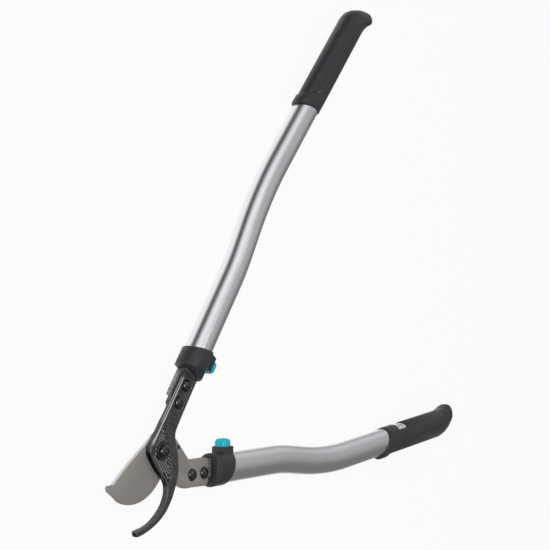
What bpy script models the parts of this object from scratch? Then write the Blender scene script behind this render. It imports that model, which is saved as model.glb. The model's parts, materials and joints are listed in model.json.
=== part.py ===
# Two-handed bypass lopper with sliding, bent oval handles.
#
# Frame: the pivot bolt's axis is Z and the flat end of the bolt is the origin.
# X runs back between the two handles, +Y is the side of the hook's handle.
# Sizes are in millimetres here and become metres when a mesh is made.
#
# Each handle has coordinates of its own: s along its straight head end,
# out away from the other handle, n up from the handle's middle plane.

import math

import bmesh
import bpy
from mathutils import Matrix, Vector

MM = 0.001
GAP = 0.3                       # clearance between pieces that touch

# Pivot, from the flat end of the bolt upwards
BOLT_TAIL = 0.8
BOLT_DIAMETER = 8.0
NUT_FLATS = 13.0
NUT_HEIGHT = 5.0
BACK_WASHER_DIAMETER = 20.0
BACK_WASHER_HEIGHT = 1.2
FRONT_WASHER_DIAMETER = 16.4
FRONT_WASHER_HEIGHT = 1.2
BOLT_HEAD_DIAMETER = 12.6
BOLT_HEAD_HEIGHT = 3.6
BOLT_SOCKET_FLATS = 5.0
BOLT_SOCKET_DEPTH = 2.2
SLEEVE_DIAMETER = 12.0
SEAT_DIAMETER = 20.0

# Jaws
BLADE_THICKNESS = 3.6
BLADE_LAND = 0.6
BLADE_BEVEL_WIDTH = 8.0
HOOK_THICKNESS = 5.5
HOOK_CHAMFER = 0.7
ARM_OUTER_EDGE = 15.3           # from the pivot, out to the edge of the hook's arm
GRIP_FIELD_DEPTH = 0.7          # sunk field round the pivot, cross-cut on the real jaw
ARM_STEP_DEPTH = 0.5
ARM_RIDGE_WIDTH = 2.4
SCREW_SEAT_HALF_WIDTH = 7.0      # long sunk seat for the screw heads on the hook's arm
SCREW_SEAT_OFFSET = 0.6
SCREW_SEAT_DEPTH = 0.9

# Bumper on the blade's tang
BUMPER_DIAMETER = 4.0
BUMPER_HEIGHT = 1.1
BUMPER_PLACE = (28.6, -12.8)
BUMPER_PIN_DIAMETER = 2.4

# Handles
HALF_OPENING = math.radians(25.8)
HOOK_HANDLE_OFFSET = 11.0       # from the pivot to the line of the handle
BLADE_HANDLE_OFFSET = 24.7
HANDLE_RISE = 4.3               # from a bracket plate's top to the handle's middle plane
TUBE_HALF_WIDTH = 14.25
TUBE_HALF_HEIGHT = 11.5
TUBE_WALL = 1.5
TUBE_START = 93.4
TUBE_STRAIGHT = 185.8
OUTER_BEND_RADIUS = 270.0
OUTER_BEND_ANGLE = math.radians(7.05)
BETWEEN_BENDS = 27.6
INNER_BEND_RADIUS = 407.0
INNER_BEND_ANGLE = math.radians(12.0)
TUBE_END = 540.0

# Arm screws
SCREW_SPACING = 19.0
SCREW_SHANK_DIAMETER = 6.0
SCREW_HEAD_DIAMETER = 11.6
SCREW_HEAD_HEIGHT = 3.0
SCREW_SOCKET_FLATS = 4.0
SCREW_SOCKET_DEPTH = 1.7
SCREW_NUT_FLATS = 10.0
SCREW_NUT_HEIGHT = 3.8
SCREW_NUT_PROUD = 2.0
SCREW_TAIL = 0.4

# Bracket: a plate under the arm that goes over into the bar in the tube
PLATE_THICKNESS = 4.0
PLATE_HALF_WIDTH = 11.0
PLATE_NOSE_RADIUS = 7.0         # round the first screw
PLATE_STEP = 2.2                # from the first screw to where the full width starts
COLLAR_CLEARANCE = 0.4          # from the plates and arms to the collar's face
BAR_TOP = 1.9
BAR_OUTER = 5.6
BAR_INNER = 11.0
BAR_CORNER_SPAN = 6.6
BAR_CORNER_HEIGHT = 4.0
BAR_END = 171.4
TENON_LENGTH = 12.3
TENON_INSET = 1.9
SHOE_LENGTH = 14.0

# Collar
COLLAR_FACE = 79.4
COLLAR_SIDE_WALL = 1.7
COLLAR_TOP_WALL = 1.8
COLLAR_REAR = 104.6
COLLAR_REAR_SLANT = 0.43
COLLAR_CHAMFER_RUN = 10.8        # on the upper side
COLLAR_CHAMFER_START = 9.0
COLLAR_CHAMFER_RISE = 9.0
COLLAR_CHAMFER_LEAN = 0.19       # how much its start rises outwards, for each unit across
COLLAR_BACK_CHAMFER_RUN = 4.0
COLLAR_BACK_CHAMFER_RISE = 5.0
COLLAR_PIN_DIAMETER = 3.2
COLLAR_PIN_LENGTH = 3.4
DIMPLE_DIAMETER = 2.0
DIMPLE_DEPTH = 0.6
DIMPLE_PLACE = (88.8, 3.2)       # along the handle and up from its middle plane
TOWER_START = 94.7
TOWER_LENGTH = 15.2
TOWER_WIDTH = 14.9
TOWER_RISE = 4.85               # beyond the collar's side
TOWER_FLOOR_INSET = 0.75        # the pocket's floor, inside the collar's side
TOWER_EDGE_RADIUS = 0.7

# Lock
BUTTON_SIZE = 12.2
BUTTON_RISE = 7.4               # beyond the tower
BUTTON_FOOT_ROOM = 3.0          # between the pocket's floor and the button's foot
BUTTON_ROUND = 2.8
LOCK_PLATE_WIDTH = 8.0
LOCK_PLATE_THICKNESS = 2.0
LOCK_PLATE_HOLD = 3.2           # how far the plate reaches into the button
LOCK_TOOTH_THICKNESS = 2.7
LOCK_TOOTH_FOOT = -2.5
BUTTON_TRAVEL = 2.0
LOCK_NOTCH_DEPTH = BUTTON_TRAVEL + 0.2
LOCK_PITCH = 32.0
LOCK_STATIONS = 3
SPRING_OFFSET = -2.4
SPRING_DIAMETER = 4.2
SPRING_WIRE = 0.8
SPRING_TURNS = 5.0
SPRING_POCKET_WALL = 3.0        # over the spring, to the button's top

# Grips
GRIP_START = 411.0
GRIP_SLANT = 0.425
GRIP_SIDE_WALL = 1.35
GRIP_TOP_WALL = 1.4
GRIP_BORE_END = TUBE_END + 1.5
RING_LENGTH = 13.5
RING_FLARE = 2.2
PAD_START = 419.0               # front of the pad, in the middle of the grip's outer side
PAD_SWEEP = 22.0                # how much further back its front is at both edges
PAD_END = 573.0
PAD_THICKNESS = 1.5             # where it lies on the solid pommel
WINDOW_START = 440.0
WINDOW_LENGTH = 22.0
WINDOW_HEIGHT = 19.0
WINDOW_CORNER = 4.0

# Sizes that follow from others
PLATE_SHOULDER = COLLAR_FACE - COLLAR_CLEARANCE
COLLAR_HALF_WIDTH = TUBE_HALF_WIDTH + COLLAR_SIDE_WALL
COLLAR_HALF_HEIGHT = TUBE_HALF_HEIGHT + COLLAR_TOP_WALL
TOWER_TOP = COLLAR_HALF_WIDTH + TOWER_RISE
TOWER_FLOOR = COLLAR_HALF_WIDTH - TOWER_FLOOR_INSET
BUTTON_TOP = TOWER_TOP + BUTTON_RISE
BUTTON_FOOT = TOWER_FLOOR + BUTTON_FOOT_ROOM
LOCK_PLATE_GRIP = BUTTON_FOOT + LOCK_PLATE_HOLD
SPRING_POCKET_TOP = BUTTON_TOP - SPRING_POCKET_WALL
GRIP_HALF_WIDTH = TUBE_HALF_WIDTH + GRIP_SIDE_WALL
GRIP_HALF_HEIGHT = TUBE_HALF_HEIGHT + GRIP_TOP_WALL

# Heights of the stacked plates
NUT_BOTTOM = BOLT_TAIL
BACK_WASHER_BOTTOM = NUT_BOTTOM + NUT_HEIGHT + GAP
BLADE_BOTTOM = BACK_WASHER_BOTTOM + BACK_WASHER_HEIGHT + GAP
BLADE_TOP = BLADE_BOTTOM + BLADE_THICKNESS
HOOK_BOTTOM = BLADE_TOP + GAP
HOOK_TOP = HOOK_BOTTOM + HOOK_THICKNESS
GRIP_FIELD_FLOOR = HOOK_TOP - GRIP_FIELD_DEPTH
FRONT_WASHER_BOTTOM = GRIP_FIELD_FLOOR + GAP
BOLT_HEAD_BOTTOM = FRONT_WASHER_BOTTOM + FRONT_WASHER_HEIGHT + GAP

# Faceting
ROUND_SIDES = 24
TUBE_SIDES = 28
BEND_STEP = 16.0
GRIP_SIDES = 30
SCREW_SIDES = 16
SPRING_STEPS = 9
SPRING_WIRE_SIDES = 5
CURVE_STEPS = 3


# Scene and materials

def clear_scene():
    for old in list(bpy.data.objects):
        bpy.data.objects.remove(old, do_unlink=True)


def finish(name, colour, roughness, metallic):
    """A material with one colour, one roughness and one metallic value."""
    made = bpy.data.materials.new(name)
    made.use_nodes = True
    shader = made.node_tree.nodes["Principled BSDF"]
    shader.inputs["Base Color"].default_value = (*colour, 1.0)
    shader.inputs["Roughness"].default_value = roughness
    shader.inputs["Metallic"].default_value = metallic
    made.diffuse_color = (*colour, 1.0)
    return made


# Meshes

def new_object(name, points, faces, material, place, sharp=math.radians(35)):
    """One named object from points in millimetres, turned so that its faces look out."""
    mesh = bpy.data.meshes.new(name)
    made = bmesh.new()
    verts = [made.verts.new(Vector(point) * MM) for point in points]
    for face in faces:
        made.faces.new([verts[index] for index in face])
    bmesh.ops.remove_doubles(made, verts=made.verts, dist=0.00001)
    bmesh.ops.dissolve_degenerate(made, dist=0.00001, edges=made.edges)
    bmesh.ops.recalc_face_normals(made, faces=made.faces)
    made.to_mesh(mesh)
    made.free()
    mesh.materials.append(material)
    mesh.shade_smooth()
    mesh.set_sharp_from_angle(angle=sharp)
    solid = bpy.data.objects.new(name, mesh)
    solid.matrix_world = place
    bpy.context.collection.objects.link(solid)
    return solid


def loft(name, rings, material, place, closed=False):
    """A skin over rings of equally many points, capped at both ends unless it closes."""
    count = len(rings[0])
    points = [point for ring in rings for point in ring]
    faces = []
    last = len(rings) if closed else len(rings) - 1
    for row in range(last):
        below = row * count
        above = ((row + 1) % len(rings)) * count
        for side in range(count):
            step = (side + 1) % count
            faces.append((below + side, below + step, above + step, above + side))
    if not closed:
        faces.append(tuple(range(count)))
        faces.append(tuple(range(len(points) - count, len(points))))
    return new_object(name, points, faces, material, place)


def prism(name, outline, bottom, top, material, place, chamfer=0.0):
    """An outline raised from bottom to top, with a chamfer round its top edge."""
    rings = [[(x, y, bottom) for x, y in outline]]
    if chamfer:
        rings.append([(x, y, top - chamfer) for x, y in outline])
        rings.append([(x, y, top) for x, y in inset(outline, chamfer)])
    else:
        rings.append([(x, y, top) for x, y in outline])
    return loft(name, rings, material, place)


def turned(name, profile, material, place, sides=ROUND_SIDES, closed=False):
    """A profile of (radius, height) points turned about Z."""
    rings = []
    for radius, height in profile:
        rings.append([(radius * math.cos(2 * math.pi * side / sides),
                       radius * math.sin(2 * math.pi * side / sides), height)
                      for side in range(sides)])
    return loft(name, rings, material, place, closed)


def cut(solid, cutter):
    """Takes the cutter's shape out of the solid."""
    cutter.hide_render = True
    cutter.display_type = "WIRE"
    boolean = solid.modifiers.new("cut_" + cutter.name, "BOOLEAN")
    boolean.operation = "DIFFERENCE"
    boolean.solver = "EXACT"
    boolean.object = cutter
    return solid


# Outlines

def smooth(points, steps=CURVE_STEPS):
    """A soft curve through the points, which starts and ends on the first and last."""
    ends = [points[0]] + list(points) + [points[-1]]
    curve = []
    for index in range(1, len(ends) - 2):
        a, b, c, d = (Vector(ends[index + shift]) for shift in (-1, 0, 1, 2))
        for step in range(steps):
            t = step / steps
            point = 0.5 * (2 * b + (c - a) * t + (2 * a - 5 * b + 4 * c - d) * t * t
                           + (3 * b - a - 3 * c + d) * t ** 3)
            curve.append((point.x, point.y))
    curve.append(tuple(points[-1]))
    return curve


def arc(centre, radius, start, end, steps):
    """Points on an arc, its angles in degrees."""
    points = []
    for step in range(steps + 1):
        angle = math.radians(start + (end - start) * step / steps)
        points.append((centre[0] + radius * math.cos(angle), centre[1] + radius * math.sin(angle)))
    return points


def circle(centre, radius, sides=ROUND_SIDES):
    return arc(centre, radius, 0, 360 - 360 / sides, sides - 1)


def hexagon(centre, flats):
    return circle(centre, flats / math.sqrt(3), 6)


def rounded_corner(before, corner, after, radius, steps=4):
    """The arc that takes a corner off, tangent to both of its sides."""
    corner = Vector(corner)
    first = (Vector(before) - corner).normalized()
    second = (Vector(after) - corner).normalized()
    half = first.angle(second) / 2
    reach = radius / math.tan(half)
    centre = corner + (first + second).normalized() * (radius / math.sin(half))
    start = corner + first * reach - centre
    end = corner + second * reach - centre
    sweep = start.angle_signed(end)
    points = []
    for step in range(steps + 1):
        turn = Matrix.Rotation(-sweep * step / steps, 2)
        point = centre + turn @ start
        points.append((point.x, point.y))
    return points


def rounded_rectangle(low, high, half, radius, steps):
    """From low to high along and half to either side, its corners rounded."""
    corners = [(low, -half), (high, -half), (high, half), (low, half)]
    outline = []
    for index, corner in enumerate(corners):
        outline += rounded_corner(corners[index - 1], corner, corners[(index + 1) % 4], radius,
                                  steps)
    return outline


def area(outline):
    total = 0.0
    for index, (x, y) in enumerate(outline):
        next_x, next_y = outline[(index + 1) % len(outline)]
        total += x * next_y - next_x * y
    return total / 2


def edge_normals(outline):
    """The direction that points into the outline at each of its points."""
    sign = 1 if area(outline) > 0 else -1
    normals = []
    for index in range(len(outline)):
        before = Vector(outline[index - 1])
        here = Vector(outline[index])
        after = Vector(outline[(index + 1) % len(outline)])
        one = (here - before).normalized()
        two = (after - here).normalized()
        way = (one + two).normalized()
        stretch = 1 / max(way.dot(one), 0.5)
        normals.append(Vector((-way.y, way.x)) * sign * stretch)
    return normals


def inset(outline, width):
    """The outline drawn in by the same width all round."""
    moved = []
    for point, normal in zip(outline, edge_normals(outline)):
        place = Vector(point) + normal * width
        moved.append((place.x, place.y))
    return moved


# Handle coordinates

class Side:
    """One handle: where it lies, and which way it is mirrored."""

    def __init__(self, name, sign, offset, plate_top, arm_thickness, first_screw, screw_out):
        self.name = name
        self.sign = sign
        self.offset = offset
        self.plane = plate_top + HANDLE_RISE
        self.plate_top = -HANDLE_RISE
        self.plate_bottom = -HANDLE_RISE - PLATE_THICKNESS
        self.arm_top = -HANDLE_RISE + GAP + arm_thickness
        self.first_screw = first_screw
        self.screw_out = screw_out
        angle = sign * HALF_OPENING
        foot = Vector((-sign * math.sin(angle), sign * math.cos(angle))) * offset
        shift = Matrix.Translation(Vector((foot.x, foot.y, self.plane)) * MM)
        self.place = shift @ Matrix.Rotation(angle, 4, "Z")

    def point(self, s, out, n):
        return (s, self.sign * out, n)

    def flat(self, outline):
        """An outline in (s, out) as mesh x and y."""
        return [(s, self.sign * out) for s, out in outline]

    def head_xy(self, s, from_pivot):
        """A place given along this handle and out from the pivot, in the head's x and y."""
        angle = self.sign * HALF_OPENING
        x = s * math.cos(angle) - self.sign * from_pivot * math.sin(angle)
        y = s * math.sin(angle) + self.sign * from_pivot * math.cos(angle)
        return (x, y)

    def box(self, name, s, out, n, material):
        """A box between pairs of s, out and n."""
        rings = []
        for height in n:
            corners = ((s[0], out[0]), (s[1], out[0]), (s[1], out[1]), (s[0], out[1]))
            rings.append([self.point(a, b, height) for a, b in corners])
        return loft(name, rings, material, self.place)

    def at(self, s, out, axis):
        """A place on this handle for a turned piece whose axis is n or out."""
        place = self.place @ Matrix.Translation(Vector((s, self.sign * out, 0)) * MM)
        if axis == "out":
            place = place @ Matrix.Rotation(-self.sign * math.pi / 2, 4, "X")
        return place


def path_point(u):
    """Where the tube's middle line is after a length u: s, out and its heading."""
    pieces = ((TUBE_STRAIGHT, 0.0), (OUTER_BEND_RADIUS * OUTER_BEND_ANGLE, OUTER_BEND_ANGLE),
              (BETWEEN_BENDS, 0.0), (INNER_BEND_RADIUS * INNER_BEND_ANGLE, -INNER_BEND_ANGLE))
    s = out = heading = 0.0
    left = u
    for length, turn in pieces:
        run = min(left, length)
        bend = turn * run / length
        chord = run if not bend else run * math.sin(bend / 2) / (bend / 2)
        s += chord * math.cos(heading + bend / 2)
        out += chord * math.sin(heading + bend / 2)
        heading += bend
        left -= run
    s += left * math.cos(heading)
    out += left * math.sin(heading)
    return s, out, heading


def oval(side, u, reach_out, reach_in, half_height, slant=0.0, sides=TUBE_SIDES, around=None,
         inner_power=1.0):
    """A ring across the tube's path, wider or narrower on either side of it.

    A power below one makes its inner half fuller at the corners.
    """
    s, out, heading = path_point(u)
    middle = (reach_out - reach_in) / 2
    half = (reach_out + reach_in) / 2
    angles = around or [2 * math.pi * index / sides for index in range(sides)]
    ring = []
    for angle in angles:
        power = 1.0 if math.cos(angle) > 0 else inner_power
        across = middle + half * powered(math.cos(angle), power)
        along = -slant * across
        ring.append(side.point(s + along * math.cos(heading) - across * math.sin(heading),
                               out + along * math.sin(heading) + across * math.cos(heading),
                               half_height * powered(math.sin(angle), power)))
    return ring


def powered(value, power):
    """The power of a number's size, with its sign kept."""
    return math.copysign(abs(value) ** power, value)


def stations(start, end):
    """Lengths along the path at which a tube needs a ring."""
    first_end = TUBE_STRAIGHT + OUTER_BEND_RADIUS * OUTER_BEND_ANGLE
    second = first_end + BETWEEN_BENDS
    second_end = second + INNER_BEND_RADIUS * INNER_BEND_ANGLE
    marks = [start]
    for bend_start, bend_end in ((TUBE_STRAIGHT, first_end), (second, second_end)):
        steps = max(2, round((bend_end - bend_start) / BEND_STEP))
        marks += [bend_start + (bend_end - bend_start) * step / steps for step in range(steps + 1)]
    marks.append(end)
    return marks


def blend(value, table):
    """Reads a value between the points of a short table of (place, size)."""
    for (low, first), (high, second) in zip(table, table[1:]):
        if value <= high:
            share = max(0.0, (value - low) / (high - low))
            return first + (second - first) * share
    return table[-1][1]


# Jaws

def hook_outline(hook):
    """The hook jaw seen from above: arm, shoulder, curved claw and back to the arm."""
    end = PLATE_SHOULDER
    shoulder = [hook.head_xy(end, -4.4), (49.8, 18.9), (34.7, 11.1)]
    back = [(34.7, 11.1), (26.9, 6.7), (22.6, 2.4), (20.7, -4.6), (18.6, -15.9), (14.4, -26.0),
            (8.3, -34.6), (-3.5, -44.2), (-12.7, -49.3), (-22.3, -52.7), (-34.8, -53.9),
            (-46.3, -53.2), (-56.0, -51.6), (-64.0, -49.4)]
    tip = [(-64.8, -48.7), (-64.8, -44.8)]
    claw = [(-63.8, -43.8), (-58.6, -45.1), (-51.2, -47.4), (-41.6, -48.7), (-32.0, -48.0), (-22.8, -45.9), (-15.6, -42.3), (-10.3, -37.6),
            (-7.6, -31.6), (-8.0, -25.2), (-12.2, -14.6), (-14.8, -5.3), (-16.3, 2.8),
            (-16.0, 8.5), (-13.2, 12.8), (-8.2, 15.4), (-3.6, 16.6), (5.6, 20.4),
            hook.head_xy(22.0, 16.0)]
    outer = [hook.head_xy(30.0, ARM_OUTER_EDGE), hook.head_xy(end - 2.0, ARM_OUTER_EDGE),
             hook.head_xy(end, ARM_OUTER_EDGE - 2.0)]
    return shoulder[:2] + smooth(back) + tip + smooth(claw) + outer


def grip_field_outline():
    """The lens-shaped sunk field round the pivot."""
    right = [(13.4, 22.0), (12.2, 14.0), (11.5, 9.0), (9.3, -6.2), (5.1, -20.4), (-3.4, -32.6)]
    left = [(-5.4, -30.0), (-6.6, -24.0), (-10.6, -14.0), (-13.0, -5.0), (-13.8, 1.0),
            (-10.0, 6.0), (-2.0, 12.6), (6.0, 18.4)]
    return smooth(right) + smooth(left)


def arm_step_outline(hook):
    """The lower part of the arm's top face, beside the ridge on its outer edge."""
    beyond = 90.0
    return [hook.head_xy(20.0, 5.0), hook.head_xy(24.0, -14.0), hook.head_xy(beyond, -14.0),
            hook.head_xy(beyond, ARM_OUTER_EDGE - ARM_RIDGE_WIDTH),
            hook.head_xy(27.0, ARM_OUTER_EDGE - ARM_RIDGE_WIDTH)]


def screw_seat_outline(hook):
    """The long seat round both screws, round at its lower end and open at the arm's end."""
    half = SCREW_SEAT_HALF_WIDTH
    middle = hook.screw_out - SCREW_SEAT_OFFSET
    beyond = 90.0
    outline = [(beyond, middle - half), (beyond, middle + half)]
    outline += arc((hook.first_screw, middle), half, 90, 270, 14)
    return [hook.head_xy(s, from_pivot) for s, from_pivot in outline]


def make_hook_jaw(hook, steel):
    still = Matrix.Identity(4)
    jaw = prism("hook_jaw", hook_outline(hook), HOOK_BOTTOM, HOOK_TOP, steel, still, HOOK_CHAMFER)
    above = HOOK_TOP + 5.0
    cut(jaw, prism("field_cutter", grip_field_outline(), GRIP_FIELD_FLOOR, above, steel, still))
    cut(jaw, prism("arm_step_cutter", arm_step_outline(hook), HOOK_TOP - ARM_STEP_DEPTH, above,
                   steel, still))
    cut(jaw, prism("screw_seat_cutter", screw_seat_outline(hook), HOOK_TOP - SCREW_SEAT_DEPTH, above,
                   steel, still))
    seat = circle((0, 0), SEAT_DIAMETER / 2, 36)
    cut(jaw, prism("seat_cutter", seat, GRIP_FIELD_FLOOR - 0.001, above, steel, still))
    cut(jaw, pivot_hole("hook_pivot_hole", HOOK_BOTTOM, HOOK_TOP, steel))
    drill_arm(jaw, hook, steel)
    return jaw


def pivot_hole(name, bottom, top, material):
    hole = circle((0, 0), SLEEVE_DIAMETER / 2 + GAP)
    return prism(name, hole, bottom - 2.0, top + 2.0, material, Matrix.Identity(4))


def drill_arm(arm, side, material):
    """The two screw holes through an arm."""
    for index in (0, 1):
        centre = side.head_xy(side.first_screw + index * SCREW_SPACING, side.screw_out)
        hole = circle(centre, SCREW_SHANK_DIAMETER / 2 + GAP)
        cut(arm, prism(f"{arm.name}_screw_hole_{index + 1}", hole, BLADE_BOTTOM - 2.0,
                       HOOK_TOP + 2.0, material, Matrix.Identity(4)))


def blade_outline(blade):
    """The blade with its tang, and how far the ground bevel reaches at each point."""
    spine = smooth([(-6.5, 14.6), (-26.9, 12.5), (-40.5, 10.9), (-54.1, 8.7), (-65.2, 6.6),
                    (-69.2, 5.9)])
    nose = smooth([(-71.2, 7.2), (-74.0, 8.1), (-75.8, 6.9), (-75.7, 3.4)])
    edge = smooth([(-73.9, -2.7), (-70.4, -9.6), (-65.0, -15.4), (-58.0, -20.6), (-50.1, -24.7),
                   (-40.3, -27.8), (-30.6, -28.9), (-21.2, -28.4), (-12.1, -26.2)])
    heel = smooth([(-4.0, -23.0), (5.0, -24.5), (10.4, -31.0), (13.2, -41.6), (15.4, -46.8),
                   (20.8, -52.2), (27.9, -55.6)])
    end = PLATE_SHOULDER
    inner = 12.2
    outer = 38.8
    corner_radius = 5.0
    far_out = blade.head_xy(end, outer)
    far_in = blade.head_xy(end, inner)
    inner_corner = blade.head_xy(48.1, inner)
    tang = rounded_corner(heel[-1], far_out, far_in, corner_radius)
    tang += rounded_corner(far_out, far_in, inner_corner, corner_radius)
    root = [inner_corner, (32.5, -16.1), (28.1, -2.6)] + smooth([(25.6, 5.0), (19.0, 12.6),
                                                                 (8.0, 16.2)])
    outline = spine + nose + edge + heel + tang + root
    first = len(spine) + len(nose)
    reach = [0.0] * len(outline)
    for index in range(len(edge)):
        run_out = min(1.0, (index + 1) / 4, (len(edge) - index) / 4)
        reach[first + index] = run_out
    return outline, reach


def make_blade(blade, steel):
    """A flat plate whose back is ground away towards the cutting edge."""
    outline, reach = blade_outline(blade)
    normals = edge_normals(outline)
    ground = []
    for point, normal, share in zip(outline, normals, reach):
        place = Vector(point) + normal * BLADE_BEVEL_WIDTH * share
        ground.append((place.x, place.y))
    rings = [[(x, y, BLADE_BOTTOM) for x, y in ground],
             [(x, y, BLADE_TOP - BLADE_LAND) for x, y in outline],
             [(x, y, BLADE_TOP) for x, y in outline]]
    solid = loft("blade", rings, steel, Matrix.Identity(4))
    cut(solid, pivot_hole("blade_pivot_hole", BLADE_BOTTOM, BLADE_TOP, steel))
    drill_arm(solid, blade, steel)
    bumper_hole = circle(BUMPER_PLACE, BUMPER_PIN_DIAMETER / 2 + GAP / 2, 16)
    cut(solid, prism("bumper_hole", bumper_hole, BLADE_BOTTOM - 2.0, BLADE_TOP + 2.0, steel,
                     Matrix.Identity(4)))
    return solid


def make_bumper(rubber):
    """A rubber stop standing on the tang, with its pin through the tang."""
    pin = BUMPER_PIN_DIAMETER / 2
    head = BUMPER_DIAMETER / 2
    base = BLADE_TOP + GAP
    top = BLADE_TOP + BUMPER_HEIGHT
    profile = [(0.0, BLADE_BOTTOM), (pin, BLADE_BOTTOM), (pin, base), (head, base),
               (head, top - 0.4), (head - 0.4, top), (0.0, top)]
    place = Matrix.Translation(Vector((*BUMPER_PLACE, 0)) * MM)
    return turned("stop_bumper", profile, rubber, place, SCREW_SIDES)


# Pivot

def make_pivot(steel, dark, bronze):
    still = Matrix.Identity(4)
    shank = BOLT_DIAMETER / 2
    head = BOLT_HEAD_DIAMETER / 2
    dome = [(head * math.cos(math.radians(step)), BOLT_HEAD_BOTTOM + 0.6
             + (BOLT_HEAD_HEIGHT - 0.6) * math.sin(math.radians(step))) for step in (0, 18, 36, 54)]
    profile = [(0.0, 0.0), (shank - 0.5, 0.0), (shank, 0.5), (shank, BOLT_HEAD_BOTTOM),
               (head, BOLT_HEAD_BOTTOM)] + dome
    profile += [(head * 0.42, BOLT_HEAD_BOTTOM + BOLT_HEAD_HEIGHT),
                (0.0, BOLT_HEAD_BOTTOM + BOLT_HEAD_HEIGHT)]
    bolt = turned("pivot_bolt", profile, dark, still)
    socket = hexagon((0, 0), BOLT_SOCKET_FLATS)
    top = BOLT_HEAD_BOTTOM + BOLT_HEAD_HEIGHT
    cut(bolt, prism("bolt_socket", socket, top - BOLT_SOCKET_DEPTH, top + 1.0, dark, still))
    ring("pivot_washer", shank + GAP, FRONT_WASHER_DIAMETER / 2, FRONT_WASHER_BOTTOM,
         FRONT_WASHER_HEIGHT, dark)
    ring("pivot_back_washer", shank + GAP, BACK_WASHER_DIAMETER / 2, BACK_WASHER_BOTTOM,
         BACK_WASHER_HEIGHT, steel)
    ring("pivot_sleeve", shank + GAP, SLEEVE_DIAMETER / 2, BLADE_BOTTOM,
         GRIP_FIELD_FLOOR - BLADE_BOTTOM, bronze)
    nut = prism("pivot_nut", hexagon((0, 0), NUT_FLATS), NUT_BOTTOM, NUT_BOTTOM + NUT_HEIGHT,
                dark, still, 0.6)
    hole = circle((0, 0), shank + GAP)
    cut(nut, prism("nut_hole", hole, -2.0, NUT_BOTTOM + NUT_HEIGHT + 2.0, dark, still))


def ring(name, bore, outside, bottom, height, material, place=None, edge=0.3):
    """A washer or bush with its outer edges just broken."""
    top = bottom + height
    profile = [(bore, bottom), (outside - edge, bottom), (outside, bottom + edge),
               (outside, top - edge), (outside - edge, top), (bore, top)]
    return turned(name, profile, material, place or Matrix.Identity(4), ROUND_SIDES, True)


# Screws of the arms

def make_arm_screws(side, dark):
    bottom = side.plate_bottom - SCREW_NUT_PROUD
    for index in (0, 1):
        centre = (side.first_screw + index * SCREW_SPACING, side.screw_out - side.offset)
        place = side.at(*centre, "n")
        head_bottom = side.arm_top + GAP
        if side.name == "hook":
            head_bottom -= SCREW_SEAT_DEPTH
        head = SCREW_HEAD_DIAMETER / 2
        shank = SCREW_SHANK_DIAMETER / 2
        dome = [(head * math.cos(math.radians(step)), head_bottom + 0.5
                 + (SCREW_HEAD_HEIGHT - 0.5) * math.sin(math.radians(step)))
                for step in (0, 30, 60)]
        tip = bottom + SCREW_TAIL
        profile = [(0.0, tip), (shank, tip), (shank, head_bottom), (head, head_bottom)] + dome
        profile.append((0.0, head_bottom + SCREW_HEAD_HEIGHT))
        screw = turned(f"{side.name}_arm_screw_{index + 1}", profile, dark, place, SCREW_SIDES)
        socket_bottom = head_bottom + SCREW_HEAD_HEIGHT - SCREW_SOCKET_DEPTH
        cut(screw, prism(f"{screw.name}_socket", hexagon((0, 0), SCREW_SOCKET_FLATS), socket_bottom,
                         head_bottom + SCREW_HEAD_HEIGHT + 1.0, dark, place))
        nut = prism(f"{side.name}_arm_nut_{index + 1}", hexagon((0, 0), SCREW_NUT_FLATS), bottom,
                    bottom + SCREW_NUT_HEIGHT, dark, place)
        cut(nut, prism(f"{nut.name}_hole", circle((0, 0), shank + GAP, 16), bottom - 1.0,
                       bottom + SCREW_NUT_HEIGHT + 1.0, dark, place))


# Brackets

def bar_section(side, s, grow=0.0):
    """The bar's section at s: flat on top, its lower inner corner cut to suit the oval tube."""
    corners = [(BAR_OUTER + grow, BAR_TOP + grow), (-BAR_INNER - grow, BAR_TOP + grow),
               (-BAR_INNER - grow, -BAR_CORNER_HEIGHT - grow * 0.5),
               (-BAR_CORNER_SPAN - grow * 0.5, side.plate_bottom - grow),
               (BAR_OUTER + grow, side.plate_bottom - grow)]
    return [side.point(s, out, n) for out, n in corners]


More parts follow.
